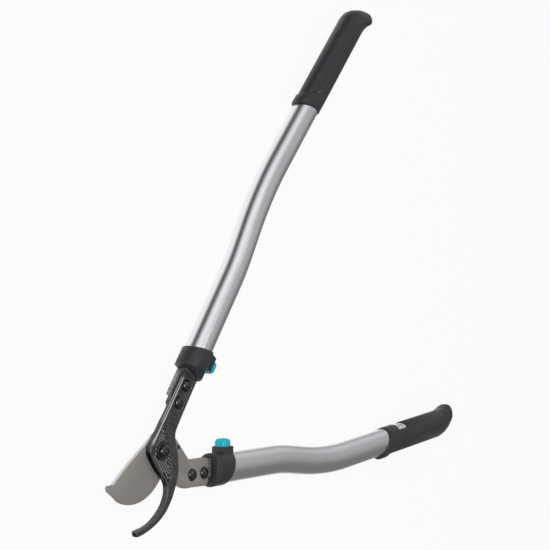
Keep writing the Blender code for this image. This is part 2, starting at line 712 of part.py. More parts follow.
def make_bracket(side, alloy):
    """Plate and bar in one casting, with hexagon seats for the nuts and notches for the lock."""
    middle = side.screw_out - side.offset
    step = side.first_screw + PLATE_STEP
    low = middle - PLATE_HALF_WIDTH
    high = middle + PLATE_HALF_WIDTH
    nose = arc((side.first_screw, middle), PLATE_NOSE_RADIUS, 90, 270, 12)
    outline = [(step, high), (step, middle + PLATE_NOSE_RADIUS)] + nose
    outline += [(step, middle - PLATE_NOSE_RADIUS), (step, low), (PLATE_SHOULDER, low),
                (PLATE_SHOULDER, high)]
    plate = prism(f"{side.name}_bracket", side.flat(outline), side.plate_bottom, side.plate_top,
                  alloy, side.place)
    bar = loft(f"{side.name}_bar", [bar_section(side, COLLAR_FACE), bar_section(side, BAR_END)],
               alloy, side.place)
    root = loft(f"{side.name}_bar_root", [lowered(side, PLATE_SHOULDER - 6.0),
                                          lowered(side, COLLAR_FACE + 4.0)], alloy, side.place)
    tenon = side.box(f"{side.name}_tenon", (BAR_END - 4.0, BAR_END + TENON_LENGTH),
                     tenon_span(), tenon_height(side), alloy)
    for piece in (root, bar, tenon):
        join(plate, piece)
    seat_floor = side.plate_bottom - SCREW_NUT_PROUD + SCREW_NUT_HEIGHT + GAP
    cut(plate, side.box(f"{side.name}_nose_step", (side.first_screw - 20.0, step),
                        (low - 2.0, high + 2.0), (side.plate_bottom - 5.0, seat_floor), alloy))
    for index in (0, 1):
        place = side.at(side.first_screw + index * SCREW_SPACING, middle, "n")
        seat = prism(f"{side.name}_nut_seat_{index + 1}", hexagon((0, 0), SCREW_NUT_FLATS + 2 * GAP),
                     side.plate_bottom - 2.0, seat_floor, alloy, place)
        cut(plate, seat)
        hole = prism(f"{side.name}_plate_hole_{index + 1}",
                     circle((0, 0), SCREW_SHANK_DIAMETER / 2 + GAP, 20), side.plate_bottom - 2.0,
                     side.plate_top + 2.0, alloy, place)
        cut(plate, hole)
    half = LOCK_PLATE_WIDTH / 2 + GAP
    for index in range(LOCK_STATIONS):
        centre = lock_place() + index * LOCK_PITCH
        cut(plate, side.box(f"{side.name}_notch_{index + 1}", (centre - half, centre + half),
                            (BAR_OUTER - LOCK_NOTCH_DEPTH, BAR_OUTER + 3.0),
                            (LOCK_TOOTH_FOOT - GAP, BAR_TOP + 3.0), alloy))
    return plate


def lowered(side, s):
    """The part of the bar's section that lies below the arm, where the bar leaves the plate."""
    corners = [(BAR_OUTER, side.plate_top - 0.01), (-BAR_INNER, side.plate_top - 0.01),
               (-BAR_CORNER_SPAN, side.plate_bottom), (BAR_OUTER, side.plate_bottom)]
    return [side.point(s, out, n) for out, n in corners]


def tenon_span():
    return (-BAR_INNER + TENON_INSET + 1.2, BAR_OUTER - TENON_INSET)


def tenon_height(side):
    return (side.plate_bottom + TENON_INSET + 0.4, BAR_TOP - TENON_INSET / 2)


def join(solid, other):
    """Unites another shape with the solid."""
    other.hide_render = True
    other.display_type = "WIRE"
    boolean = solid.modifiers.new("join_" + other.name, "BOOLEAN")
    boolean.operation = "UNION"
    boolean.solver = "EXACT"
    boolean.object = other
    return solid


def make_shoe(side, nylon):
    """The slide shoe on the bar's end, which guides it in the tube."""
    width = TUBE_HALF_WIDTH - TUBE_WALL - GAP
    height = TUBE_HALF_HEIGHT - TUBE_WALL - GAP
    start = BAR_END + GAP
    rings = [oval(side, start, width - 0.8, width - 0.8, height - 0.8),
             oval(side, start + 0.8, width, width, height),
             oval(side, start + SHOE_LENGTH - 0.8, width, width, height),
             oval(side, start + SHOE_LENGTH, width - 0.8, width - 0.8, height - 0.8)]
    shoe = loft(f"{side.name}_slide_shoe", rings, nylon, side.place)
    low, high = tenon_span()
    bottom, top = tenon_height(side)
    pocket = side.box(f"{side.name}_shoe_pocket", (start - 2.0, BAR_END + TENON_LENGTH + GAP),
                      (low - GAP, high + GAP), (bottom - GAP, top + GAP), nylon)
    return cut(shoe, pocket)


# Handles

def lock_place():
    return TOWER_START + TOWER_LENGTH / 2


def make_tube(side, aluminium):
    rings = []
    marks = stations(TUBE_START, TUBE_END)
    for u in marks:
        rings.append(oval(side, u, TUBE_HALF_WIDTH, TUBE_HALF_WIDTH, TUBE_HALF_HEIGHT))
    for u in reversed(marks):
        width = TUBE_HALF_WIDTH - TUBE_WALL
        rings.append(oval(side, u, width, width, TUBE_HALF_HEIGHT - TUBE_WALL))
    tube = loft(f"{side.name}_tube", rings, aluminium, side.place, closed=True)
    cut(tube, lock_slot(side, "tube", aluminium))
    return cut(tube, pin_hole(side, "tube", aluminium))


def lock_slot(side, owner, material):
    """The opening that the lock plate passes through."""
    half = LOCK_PLATE_WIDTH / 2 + GAP
    bottom, top = lock_plate_height()
    return side.box(f"{side.name}_{owner}_lock_slot", (lock_place() - half, lock_place() + half),
                    (-TOWER_FLOOR - 2.0, -8.0), (bottom - GAP, top + GAP), material)


def lock_plate_height():
    bottom = BAR_TOP + GAP
    return bottom, bottom + LOCK_PLATE_THICKNESS


def pin_place():
    """The collar's cross pin, on the under side and clear of the bar."""
    return COLLAR_FACE + 19.6, 1.5


def pin_hole(side, owner, material):
    s, out = pin_place()
    hole = circle((0, 0), COLLAR_PIN_DIAMETER / 2 + GAP / 2, 16)
    return prism(f"{side.name}_{owner}_pin_hole", hole, -16.0, -9.0, material,
                 side.at(s, out, "n"))


def dimple(side, plastic):
    """The cutter of a small round dimple in the collar's outer side."""
    s, n = DIMPLE_PLACE
    floor = COLLAR_HALF_WIDTH * math.sqrt(1 - (n / COLLAR_HALF_HEIGHT) ** 2) - DIMPLE_DEPTH
    place = side.at(s, 0.0, "out") @ Matrix.Translation(Vector((0, -side.sign * n, 0)) * MM)
    return prism(f"{side.name}_dimple", circle((0, 0), DIMPLE_DIAMETER / 2, 12), floor,
                 COLLAR_HALF_WIDTH + 2.0, plastic, place)


def collar_wedge(side, name, sign, start, run, rise, lean, plastic):
    """The cutter that slants the collar's front, above or below the bar."""
    wedge = [(COLLAR_FACE, start), (COLLAR_FACE - 2.0, start),
             (COLLAR_FACE - 2.0, start + rise * 2), (COLLAR_FACE + run * 2, start + rise * 2)]
    rings = [[side.point(s, out, sign * n + side.sign * lean * out) for s, n in wedge]
             for out in (-30.0, 30.0)]
    return loft(f"{side.name}_collar_wedge_{name}", rings, plastic, side.place)


def make_collar(side, plastic):
    """The collar on the tube's mouth, with the tower for the button on its inner side."""
    name = f"{side.name}_collar"
    rings = []
    for u, shrink in ((COLLAR_FACE, 0.5), (COLLAR_FACE + 0.5, 0.0)):
        rings.append(oval(side, u, COLLAR_HALF_WIDTH - shrink, COLLAR_HALF_WIDTH - shrink,
                          COLLAR_HALF_HEIGHT - shrink))
    rings.append(oval(side, COLLAR_REAR - 0.6, COLLAR_HALF_WIDTH, COLLAR_HALF_WIDTH,
                      COLLAR_HALF_HEIGHT, COLLAR_REAR_SLANT))
    rings.append(oval(side, COLLAR_REAR, COLLAR_HALF_WIDTH - 0.5, COLLAR_HALF_WIDTH - 0.5,
                      COLLAR_HALF_HEIGHT - 0.5, COLLAR_REAR_SLANT))
    collar = loft(name, rings, plastic, side.place)
    section = rounded_rectangle(TOWER_START, TOWER_START + TOWER_LENGTH, TOWER_WIDTH / 2,
                                TOWER_EDGE_RADIUS, 2)
    tower_rings = []
    for out, shrink in ((-6.0, 0.0), (-TOWER_TOP + 0.5, 0.0), (-TOWER_TOP, 0.5)):
        drawn = inset(section, shrink) if shrink else section
        tower_rings.append([side.point(s, out, n) for s, n in drawn])
    join(collar, loft(f"{name}_tower", tower_rings, plastic, side.place))
    cut(collar, collar_wedge(side, "upper", 1, COLLAR_CHAMFER_START, COLLAR_CHAMFER_RUN,
                             COLLAR_CHAMFER_RISE, COLLAR_CHAMFER_LEAN, plastic))
    cut(collar, collar_wedge(side, "under", -1, -side.plate_bottom + 0.8,
                             COLLAR_BACK_CHAMFER_RUN, COLLAR_BACK_CHAMFER_RISE, 0.0, plastic))
    width = TUBE_HALF_WIDTH + GAP
    height = TUBE_HALF_HEIGHT + GAP
    bore = [oval(side, TUBE_START - GAP, width, width, height),
            oval(side, COLLAR_REAR + 20.0, width, width, height)]
    cut(collar, loft(f"{name}_bore", bore, plastic, side.place))
    cut(collar, loft(f"{name}_guide", [bar_section(side, COLLAR_FACE - 2.0, GAP),
                                       bar_section(side, TUBE_START + 2.0, GAP)],
                     plastic, side.place))
    half_button = BUTTON_SIZE / 2 + GAP
    cut(collar, side.box(f"{name}_pocket", (lock_place() - half_button, lock_place() + half_button),
                         (-TOWER_TOP - 2.0, -TOWER_FLOOR), (-half_button, half_button), plastic))
    cut(collar, lock_slot(side, "collar", plastic))
    cut(collar, dimple(side, plastic))
    return cut(collar, pin_hole(side, "collar", plastic))


def make_collar_pin(side, steel):
    s, out = pin_place()
    low = 0.4 - COLLAR_HALF_HEIGHT * math.sqrt(1 - (out / COLLAR_HALF_WIDTH) ** 2)
    radius = COLLAR_PIN_DIAMETER / 2
    profile = [(0.0, low), (radius - 0.3, low), (radius, low + 0.3), (radius, low + COLLAR_PIN_LENGTH),
               (0.0, low + COLLAR_PIN_LENGTH)]
    return turned(f"{side.name}_collar_pin", profile, steel, side.at(s, out, "n"), 16)


# Lock

def make_button(side, plastic):
    """A domed push button that fills the tower's pocket."""
    centre = lock_place()
    rows = [(BUTTON_FOOT, 0.0), (BUTTON_TOP - BUTTON_ROUND, 0.0),
            (BUTTON_TOP - BUTTON_ROUND * 0.45, BUTTON_ROUND * 0.22),
            (BUTTON_TOP - BUTTON_ROUND * 0.12, BUTTON_ROUND * 0.62), (BUTTON_TOP, BUTTON_ROUND * 1.2)]
    rings = []
    for reach, shrink in rows:
        half = BUTTON_SIZE / 2 - shrink
        outline = rounded_rectangle(centre - half, centre + half, half, BUTTON_ROUND, 3)
        rings.append([side.point(s, -reach, n) for s, n in outline])
    button = loft(f"{side.name}_button", rings, plastic, side.place)
    bottom, top = lock_plate_height()
    half = LOCK_PLATE_WIDTH / 2 + GAP
    cut(button, side.box(f"{side.name}_button_slot", (centre - half, centre + half),
                         (-LOCK_PLATE_GRIP - GAP, -BUTTON_FOOT + 2.0), (bottom - GAP, top + GAP),
                         plastic))
    pocket = SPRING_DIAMETER / 2 + SPRING_WIRE / 2 + GAP
    hole = [(0.0, BUTTON_FOOT - 2.0), (pocket, BUTTON_FOOT - 2.0), (pocket, SPRING_POCKET_TOP),
            (0.0, SPRING_POCKET_TOP)]
    cut(button, turned(f"{side.name}_button_bore", hole, plastic, spring_axis(side), 20))
    return button


def spring_axis(side):
    """The spring's axis: heights grow away from the tube, towards the button's top."""
    shift = Matrix.Translation(Vector((lock_place(), 0, SPRING_OFFSET)) * MM)
    return side.place @ shift @ Matrix.Rotation(side.sign * math.pi / 2, 4, "X")


def make_lock_plate(side, steel):
    """The steel hook that the button moves: a plate over the bar with a tooth beyond it."""
    bottom, top = lock_plate_height()
    near = BAR_OUTER + GAP
    far = near + LOCK_TOOTH_THICKNESS
    profile = [(-LOCK_PLATE_GRIP, bottom), (near, bottom), (near, LOCK_TOOTH_FOOT),
               (far, LOCK_TOOTH_FOOT), (far, top - 0.8), (far - 0.8, top), (-LOCK_PLATE_GRIP, top)]
    half = LOCK_PLATE_WIDTH / 2
    rings = [[side.point(s, out, n) for out, n in profile]
             for s in (lock_place() - half, lock_place() + half)]
    return loft(f"{side.name}_lock_plate", rings, steel, side.place)


def make_spring(side, steel):
    """A coil spring between the collar and the button."""
    radius = SPRING_DIAMETER / 2
    wire = SPRING_WIRE / 2
    low = TOWER_FLOOR + GAP + wire
    high = SPRING_POCKET_TOP - GAP - wire
    steps = int(SPRING_TURNS * SPRING_STEPS)
    rings = []
    for step in range(steps + 1):
        angle = 2 * math.pi * SPRING_TURNS * step / steps
        height = low + (high - low) * step / steps
        ring_points = []
        for side_step in range(SPRING_WIRE_SIDES):
            turn = 2 * math.pi * side_step / SPRING_WIRE_SIDES
            reach = radius + wire * math.cos(turn)
            ring_points.append((reach * math.cos(angle), reach * math.sin(angle),
                                height + wire * math.sin(turn)))
        rings.append(ring_points)
    return loft(f"{side.name}_button_spring", rings, steel, spring_axis(side))


# Grips

# Shares of the grip's half width and half height that are left towards the pommel's end
OUTER_SHARE = ((543.0, 1.0), (552.0, 0.872), (559.5, 0.603), (566.8, 0.231), (572.4, -0.154),
               (575.4, -0.462), (576.8, -0.769))
INNER_SHARE = ((552.0, 1.0), (558.0, 1.013), (562.0, 1.051), (566.0, 1.179), (569.6, 1.244),
               (573.0, 1.218), (575.6, 1.09), (576.8, 0.872))
HEIGHT_SHARE = ((559.5, 1.0), (566.8, 0.961), (572.4, 0.806), (575.4, 0.558), (576.8, 0.233))
INNER_POWER = ((552.0, 1.0), (564.0, 0.55), (576.8, 0.55))
GRIP_MARKS = (446.0, 490.0, 543.0, 549.0, 554.0, 558.5, 562.5, 566.0, 569.6, 572.4, 574.6, 576.0,
              576.8)


def grip_ring(side, u, drop=0.0, slant=0.0, around=None, flare=0.0):
    """The grip's outer surface at u, drawn in by drop and out by flare on its outer side."""
    return oval(side, u, GRIP_HALF_WIDTH * blend(u, OUTER_SHARE) + flare - drop,
                GRIP_HALF_WIDTH * blend(u, INNER_SHARE) - drop,
                GRIP_HALF_HEIGHT * blend(u, HEIGHT_SHARE) - drop, slant, GRIP_SIDES, around,
                blend(u, INNER_POWER))


def make_grip_core(side, plastic):
    """The hard sleeve with its slanted, flared ring and closed pommel."""
    width = TUBE_HALF_WIDTH + GAP
    height = TUBE_HALF_HEIGHT + GAP
    bore_start = oval(side, GRIP_START, width, width, height, GRIP_SLANT, GRIP_SIDES)
    bore_end = oval(side, GRIP_BORE_END, width - 0.1, width - 0.1, height - 0.1, 0.0, GRIP_SIDES)
    rings = [bore_end, bore_start]
    for along, drop, slant_share, flare in RING_MARKS:
        rings.append(grip_ring(side, GRIP_START + along, drop, GRIP_SLANT * slant_share,
                               flare=flare))
    for u in GRIP_MARKS:
        rings.append(grip_ring(side, u))
    core = loft(f"{side.name}_grip_core", rings, plastic, side.place)
    cut(core, pad_shell(side, f"{side.name}_pad_recess", plastic, GAP))
    return cut(core, grip_window(side, plastic))


def grip_window(side, material):
    """The opening on the grip's inner side that shows the tube, its rear corners rounded."""
    s, out, heading = path_point(WINDOW_START)
    place = side.place @ Matrix.Translation(Vector((s, side.sign * out, 0)) * MM)
    place = place @ Matrix.Rotation(side.sign * heading, 4, "Z")
    half = WINDOW_HEIGHT / 2
    front_low, front_high = (0.0, -half), (0.0, half)
    rear_low, rear_high = (WINDOW_LENGTH, -half), (WINDOW_LENGTH, half)
    outline = [front_low]
    outline += rounded_corner(front_low, rear_low, rear_high, WINDOW_CORNER)
    outline += rounded_corner(rear_low, rear_high, front_high, WINDOW_CORNER)
    outline.append(front_high)
    rings = [[(along, side.sign * reach, n) for along, n in outline] for reach in (-6.0, -24.0)]
    return loft(f"{side.name}_grip_window", rings, material, place)


# Rings of the grip's slanted front: how far along, drawn in, share of the slant, flare
RING_MARKS = ((0.0, 0.7, 1.0, RING_FLARE), (0.7, 0.0, 1.0, RING_FLARE),
              (RING_LENGTH - 3.0, 0.0, 0.9, RING_FLARE), (RING_LENGTH - 0.5, 0.0, 0.75, 0.0),
              (RING_LENGTH + 4.0, 0.0, 0.4, 0.0), (RING_LENGTH + 10.0, 0.0, 0.0, 0.0))

# The pad's front, length and how far it reaches round the grip
PAD_SPREAD = ((530.0, math.radians(83.0)), (545.0, math.radians(90.0)), (560.0, math.radians(104.0)),
              (570.0, math.radians(130.0)))
PAD_MARKS = (0.0, 0.35, 0.72, 0.8, 0.86, 0.91, 0.96, 1.0)
PAD_COLUMNS = 16


def pad_shell(side, name, material, grow=0.0):
    """The soft pad round the outer side of the grip, between its surface and the pad's bed."""
    proud = 2.0 if grow else 0.0
    outer = []
    inner = []
    for share in PAD_MARKS:
        outer_row = []
        inner_row = []
        for column in range(PAD_COLUMNS + 1):
            across = 2 * column / PAD_COLUMNS - 1
            front = PAD_START + PAD_SWEEP * abs(across) ** 3 - grow
            u = front + (PAD_END + grow - front) * share
            angle = across * (blend(u, PAD_SPREAD) + grow / GRIP_HALF_HEIGHT)
            outer_row += grip_ring(side, u, -proud, 0.0, [angle])
            inner_row += grip_ring(side, u, pad_depth(u) + grow, 0.0, [angle])
        outer.append(outer_row)
        inner.append(inner_row)
    return shell(name, outer, inner, material, side.place)


def pad_depth(u):
    """How thick the pad is: down to the tube, and past the tube's end into the pommel."""
    on_tube = GRIP_HALF_WIDTH - TUBE_HALF_WIDTH - GAP
    return blend(u, ((GRIP_BORE_END, on_tube), (GRIP_BORE_END + 10.0, PAD_THICKNESS)))


def shell(name, outer, inner, material, place):
    """A closed wall between two equal grids of points."""
    rows, columns = len(outer), len(outer[0])
    points = [point for row in outer for point in row]
    points += [point for row in inner for point in row]
    under = rows * columns
    faces = []
    for row in range(rows - 1):
        for column in range(columns - 1):
            a = row * columns + column
            quad = (a, a + 1, a + columns + 1, a + columns)
            faces.append(quad)
            faces.append(tuple(index + under for index in reversed(quad)))
    rim = [column for column in range(columns)]
    rim += [row * columns + columns - 1 for row in range(1, rows)]
    rim += [(rows - 1) * columns + column for column in range(columns - 2, -1, -1)]
    rim += [row * columns for row in range(rows - 2, 0, -1)]
    for here, after in zip(rim, rim[1:] + rim[:1]):
        faces.append((after, here, here + under, after + under))
    return new_object(name, points, faces, material, place)


def make_grip_pad(side, rubber):
    return pad_shell(side, f"{side.name}_grip_pad", rubber)


# The whole lopper

def build_side(side, looks):
    make_bracket(side, looks["alloy"])
    make_arm_screws(side, looks["dark_steel"])
    make_shoe(side, looks["nylon"])
    make_tube(side, looks["aluminium"])
    make_collar(side, looks["plastic"])
    make_collar_pin(side, looks["steel"])
    make_button(side, looks["button"])
    make_lock_plate(side, looks["steel"])
    make_spring(side, looks["steel"])
    make_grip_core(side, looks["plastic"])
    make_grip_pad(side, looks["rubber"])


def main():
    clear_scene()
    looks = {
        "coated": finish("coated_steel", (0.075, 0.077, 0.082), 0.42, 0.55),
        "blade": finish("blade_steel", (0.29, 0.28, 0.26), 0.40, 0.65),
        "steel": finish("plain_steel", (0.50, 0.50, 0.50), 0.35, 0.9),
        "dark_steel": finish("blackened_steel", (0.03, 0.03, 0.032), 0.3, 0.6),
        "bronze": finish("sleeve_bronze", (0.45, 0.30, 0.12), 0.4, 0.9),
        "alloy": finish("cast_alloy", (0.42, 0.42, 0.43), 0.5, 0.7),
        "aluminium": finish("satin_aluminium", (0.58, 0.58, 0.59), 0.32, 0.9),
        "plastic": finish("black_plastic", (0.035, 0.036, 0.038), 0.45, 0.0),
        "nylon": finish("white_nylon", (0.75, 0.74, 0.70), 0.5, 0.0),
        "button": finish("turquoise_plastic", (0.01, 0.42, 0.50), 0.3, 0.0),
        "rubber": finish("soft_grey", (0.06, 0.062, 0.067), 0.7, 0.0),
    }
    hook = Side("hook", 1, HOOK_HANDLE_OFFSET, HOOK_BOTTOM - GAP, HOOK_THICKNESS, 48.3, 6.4)
    blade = Side("blade", -1, BLADE_HANDLE_OFFSET, BLADE_BOTTOM - GAP, BLADE_THICKNESS, 52.6, 26.4)
    make_hook_jaw(hook, looks["coated"])
    make_blade(blade, looks["blade"])
    make_bumper(looks["rubber"])
    make_pivot(looks["steel"], looks["dark_steel"], looks["bronze"])
    build_side(hook, looks)
    build_side(blade, looks)


main()
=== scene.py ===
# %% [markdown]
# A bypass lopper cuts branches like a pair of large scissors: a ground blade passes
# a curved hook jaw, and two long tubes with grips give the hands their leverage.
# The solids come from the CAD model, so this lesson is about how they look: broken
# edges, the knurled field, drawn tubes, and one finish for each material. First the
# imported model is loaded and its box is kept. The two handles are mirror images, so
# each side has a sign.

import json
import math

import bmesh
import bpy
from mathutils import Matrix, Vector


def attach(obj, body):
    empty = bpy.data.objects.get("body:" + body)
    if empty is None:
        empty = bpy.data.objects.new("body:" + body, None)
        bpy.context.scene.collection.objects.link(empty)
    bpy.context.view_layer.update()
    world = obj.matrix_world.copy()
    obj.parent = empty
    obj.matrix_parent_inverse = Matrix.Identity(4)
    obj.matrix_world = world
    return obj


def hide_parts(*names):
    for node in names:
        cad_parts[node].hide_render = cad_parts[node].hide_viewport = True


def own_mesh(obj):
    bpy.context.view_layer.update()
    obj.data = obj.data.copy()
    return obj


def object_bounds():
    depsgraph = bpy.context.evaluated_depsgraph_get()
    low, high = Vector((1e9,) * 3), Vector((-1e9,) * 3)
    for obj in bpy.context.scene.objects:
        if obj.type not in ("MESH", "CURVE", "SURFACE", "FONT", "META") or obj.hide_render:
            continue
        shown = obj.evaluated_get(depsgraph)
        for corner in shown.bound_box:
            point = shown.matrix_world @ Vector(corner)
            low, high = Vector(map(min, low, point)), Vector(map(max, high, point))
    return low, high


MM = 0.001
SIDES = {"hook": 1, "blade": -1}
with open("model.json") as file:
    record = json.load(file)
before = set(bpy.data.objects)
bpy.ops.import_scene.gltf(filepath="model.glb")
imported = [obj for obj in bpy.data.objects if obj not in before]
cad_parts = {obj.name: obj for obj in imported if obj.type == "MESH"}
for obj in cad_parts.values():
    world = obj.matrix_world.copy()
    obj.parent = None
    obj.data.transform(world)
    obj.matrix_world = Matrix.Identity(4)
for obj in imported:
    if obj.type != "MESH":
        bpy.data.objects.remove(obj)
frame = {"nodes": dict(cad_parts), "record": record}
cad_box = [list(corner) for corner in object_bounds()]
print("CAD box in metres:", cad_box)

# %% [markdown]
# The photograph looks at the lopper from in front of its jaws, about 32 degrees above
# the floor, with the camera turned on its side. A long lens keeps the handles' widths
# nearly equal. The camera's place and turn were fitted to the outlines of both
# handles, so a piece that stands where the CAD has it lands on its own picture. The
# place is in metres, the turn in degrees, and lens and film are in millimetres.

# %% Camera
CAMERA_PLACE = (-1.0114, 0.6530, 0.8980)
CAMERA_TURN = (0.313, -57.457, -25.715)
LENS = 108.4
FILM = 36.0


def linked(name, data):
    """A new object in the scene."""
    made = bpy.data.objects.new(name, data)
    bpy.context.collection.objects.link(made)
    return made


camera_data = bpy.data.cameras.new("photo_camera")
camera_data.lens = LENS
camera_data.sensor_width = FILM
camera = linked("photo_camera", camera_data)
camera.location = CAMERA_PLACE
camera.rotation_euler = [math.radians(angle) for angle in CAMERA_TURN]
bpy.context.scene.camera = camera
bpy.context.scene.view_settings.view_transform = "Standard"
forward = camera.matrix_basis.to_3x3() @ Vector((0, 0, -1))
print("camera looks down by", round(-math.degrees(math.asin(forward.z)), 1), "degrees")

# %% [markdown]
# Materials and Geometry Nodes are both graphs of nodes. Written with plain calls they
# need four lines for each sum, so one small class wraps a socket and takes the usual
# signs. A second one wraps the tree and adds a node with its settings first and the
# values of its sockets after them. Sockets that share a name go by their number, as
# those of a colour mix do. Both classes serve the two kinds of tree alike.

# %% Sockets that can be added and multiplied
class Field:
    """One output socket, so that node maths reads as plain Python."""

    def __init__(self, tree, socket):
        self.tree = tree
        self.socket = socket

    def __add__(self, other):
        return self.tree.maths("ADD", self, other)

    __radd__ = __add__

    def __sub__(self, other):
        return self.tree.maths("SUBTRACT", self, other)

    def __rsub__(self, other):
        return self.tree.maths("SUBTRACT", other, self)

    def __mul__(self, other):
        return self.tree.maths("MULTIPLY", self, other)

    __rmul__ = __mul__

    def between(self, low, high):
        """0 below low, 1 above high and a soft ramp between them."""
        return self.tree.node("ShaderNodeMapRange", {"interpolation_type": "SMOOTHSTEP"},
                              **{"Value": self, "From Min": low, "From Max": high})


MIX_SHARE, MIX_FIRST, MIX_SECOND, MIX_COLOUR = 0, 6, 7, 2


class Tree:
    """A node tree that is filled by short calls."""

    def __init__(self, graph):
        self.graph = graph

    def node(self, kind, settings=None, output=0, numbered=None, **named):
        """Adds a node and gives one of its outputs."""
        made = self.graph.nodes.new(kind)
        for name, value in (settings or {}).items():
            setattr(made, name, value)
        for socket, value in {**(numbered or {}), **named}.items():
            self.feed(made.inputs[socket], value)
        return Field(self, made.outputs[output])

    def feed(self, socket, value):
        """Links a field, or every field of a list, or sets a plain value."""
        if isinstance(value, Field):
            self.graph.links.new(value.socket, socket)
        elif isinstance(value, list):
            for field in value:
                self.feed(socket, field)
        elif value is not None:
            socket.default_value = value

    def maths(self, operation, first, second=0.0):
        return self.node("ShaderNodeMath", {"operation": operation}, 0, {0: first, 1: second})

    def vector(self, operation, first, second, output="Vector"):
        return self.node("ShaderNodeVectorMath", {"operation": operation}, output,
                         {0: first, 1: second})

    def dot(self, first, second):
        return self.vector("DOT_PRODUCT", first, second, "Value")

    def xyz(self, x, y, z):
        """A vector of three numbers or fields."""
        return self.node("ShaderNodeCombineXYZ", X=x, Y=y, Z=z)

    def axis(self, name, vector):
        """The X, Y or Z of a vector."""
        return self.node("ShaderNodeSeparateXYZ", None, name, Vector=vector)

    def mix(self, share, first, second):
        """From the first colour to the second."""
        first, second = (colour if isinstance(colour, Field) else (*colour, 1.0)
                         for colour in (first, second))
        return self.node("ShaderNodeMix", {"data_type": "RGBA"}, MIX_COLOUR,
                         {MIX_SHARE: share, MIX_FIRST: first, MIX_SECOND: second})


print("Field and Tree are ready")

# %% [markdown]
# Every finish here is a Principled surface whose colour, roughness and relief vary a
# little, as on the real pieces. They all read Object coordinates, so a pattern stays on
# its piece when a joint moves it. One class sets up what they share.

# %% What all finishes share
class Finish(Tree):
    """A material with one Principled surface."""

    def __init__(self, name, **constants):
        self.material = bpy.data.materials.new(name)
        self.material.use_nodes = True
        super().__init__(self.material.node_tree)
        self.surface = self.graph.nodes["Principled BSDF"]
        for socket, value in constants.items():
            self.surface.inputs[socket.replace("_", " ")].default_value = value
        self.place = self.node("ShaderNodeTexCoord", output="Object")

    def noise(self, grains_per_mm, detail=3.0, rough=0.55, stretch=(1, 1, 1), turn=0.0):
        """Cloudy grain from 0 to 1; a stretch below 1 draws it out along that axis."""
        place = self.node("ShaderNodeMapping", Vector=self.place, Rotation=(0, 0, turn),
                          Scale=stretch)
        return self.node("ShaderNodeTexNoise", Vector=place, Scale=grains_per_mm / MM,
                         Detail=detail, Roughness=rough)

    def paint(self, colour, roughness, height, relief_mm, metallic=None):
        """Feeds the surface; height from 0 to 1 stands relief_mm high."""
        bump = self.node("ShaderNodeBump", Height=height, Distance=relief_mm * MM,
                         Strength=1.0)
        for socket, value in (("Base Color", colour), ("Roughness", roughness),
                              ("Metallic", metallic), ("Normal", bump)):
            self.feed(self.surface.inputs[socket], value)
        return self.material


print("a finish starts with its Object coordinates")

# %% [markdown]
# The hook jaw is forged and then coated against sap. The coat is dark, satin and lightly
# mottled, and it has the grain of the forging under it. Two scales of noise give the
# mottle and the grain. The coat is rubbed off along the edges that face up, and these
# edges are also painted light as highlights. A rib on the arm's outer wall, a rim along
# its outer edge and one chamfer, where the arm's outer edge runs on beside the pivot, are
# painted highlights in the same light steel. The wall towards the blade is painted dark
# as shade. Edges are known from an attribute that a later cell stores on the mesh; the
# rest are bands, in millimetres, in the arm's own coordinates, which run along the arm
# and out from its middle.

# %% Finish of the hook jaw
HALF_OPENING = math.radians(25.8)
ARM_ALONG = (math.cos(HALF_OPENING), math.sin(HALF_OPENING), 0.0)
ARM_OUT = (-math.sin(HALF_OPENING), math.cos(HALF_OPENING), 0.0)
TO_BLADE = (-0.94, -0.34, 0.0)
ARM_SPAN = (21, 71)
RIM_OUT = (14.75, 16.5)
RIB_HEIGHT = (14.3, 14.95)
CHAMFER_SPAN = (-3, 24)
CHAMFER_OUT = 15.1
CHAMFER_DRIFT = 0.2
COAT = ((0.036, 0.036, 0.039), (0.118, 0.118, 0.125))
# Colour of the painted shade on the wall that faces the blade.
WALL_SHADE = (0.016, 0.015, 0.014)
# Light steel for the worn edges and for the painted highlights along the jaw.
HIGHLIGHT_AND_BARE_STEEL = (0.60, 0.60, 0.62)


def band(value, low, high, soft=0.12):
    """1 between two millimetre values, 0 outside, with soft ends."""
    return value.between((low - soft) * MM, (low + soft) * MM) * (
        1.0 - value.between((high - soft) * MM, (high + soft) * MM))


def painted_highlight_lines(made, normal, level):
    """1 along the painted highlight lines of the chamfer, rim and rib, 0 elsewhere."""
    along, out = made.dot(made.place, ARM_ALONG), made.dot(made.place, ARM_OUT)
    on_arm = band(along, *ARM_SPAN, soft=2)
    inner_edge = CHAMFER_OUT * MM + along.between(8 * MM, 30 * MM) * (CHAMFER_DRIFT * MM)
    chamfer = (out - inner_edge).between(-0.2 * MM, 0.1 * MM)
    chamfer = chamfer * band(along, *CHAMFER_SPAN, soft=4)
    rim = band(out, *RIM_OUT) * on_arm
    outward = made.dot(normal, ARM_OUT).between(0.6, 0.8)
    rib = band(made.axis("Z", made.place), *RIB_HEIGHT) * on_arm * outward
    on_top = made.maths("MAXIMUM", chamfer, rim) * level.between(0.1, 0.3)
    return made.maths("MAXIMUM", on_top, rib)


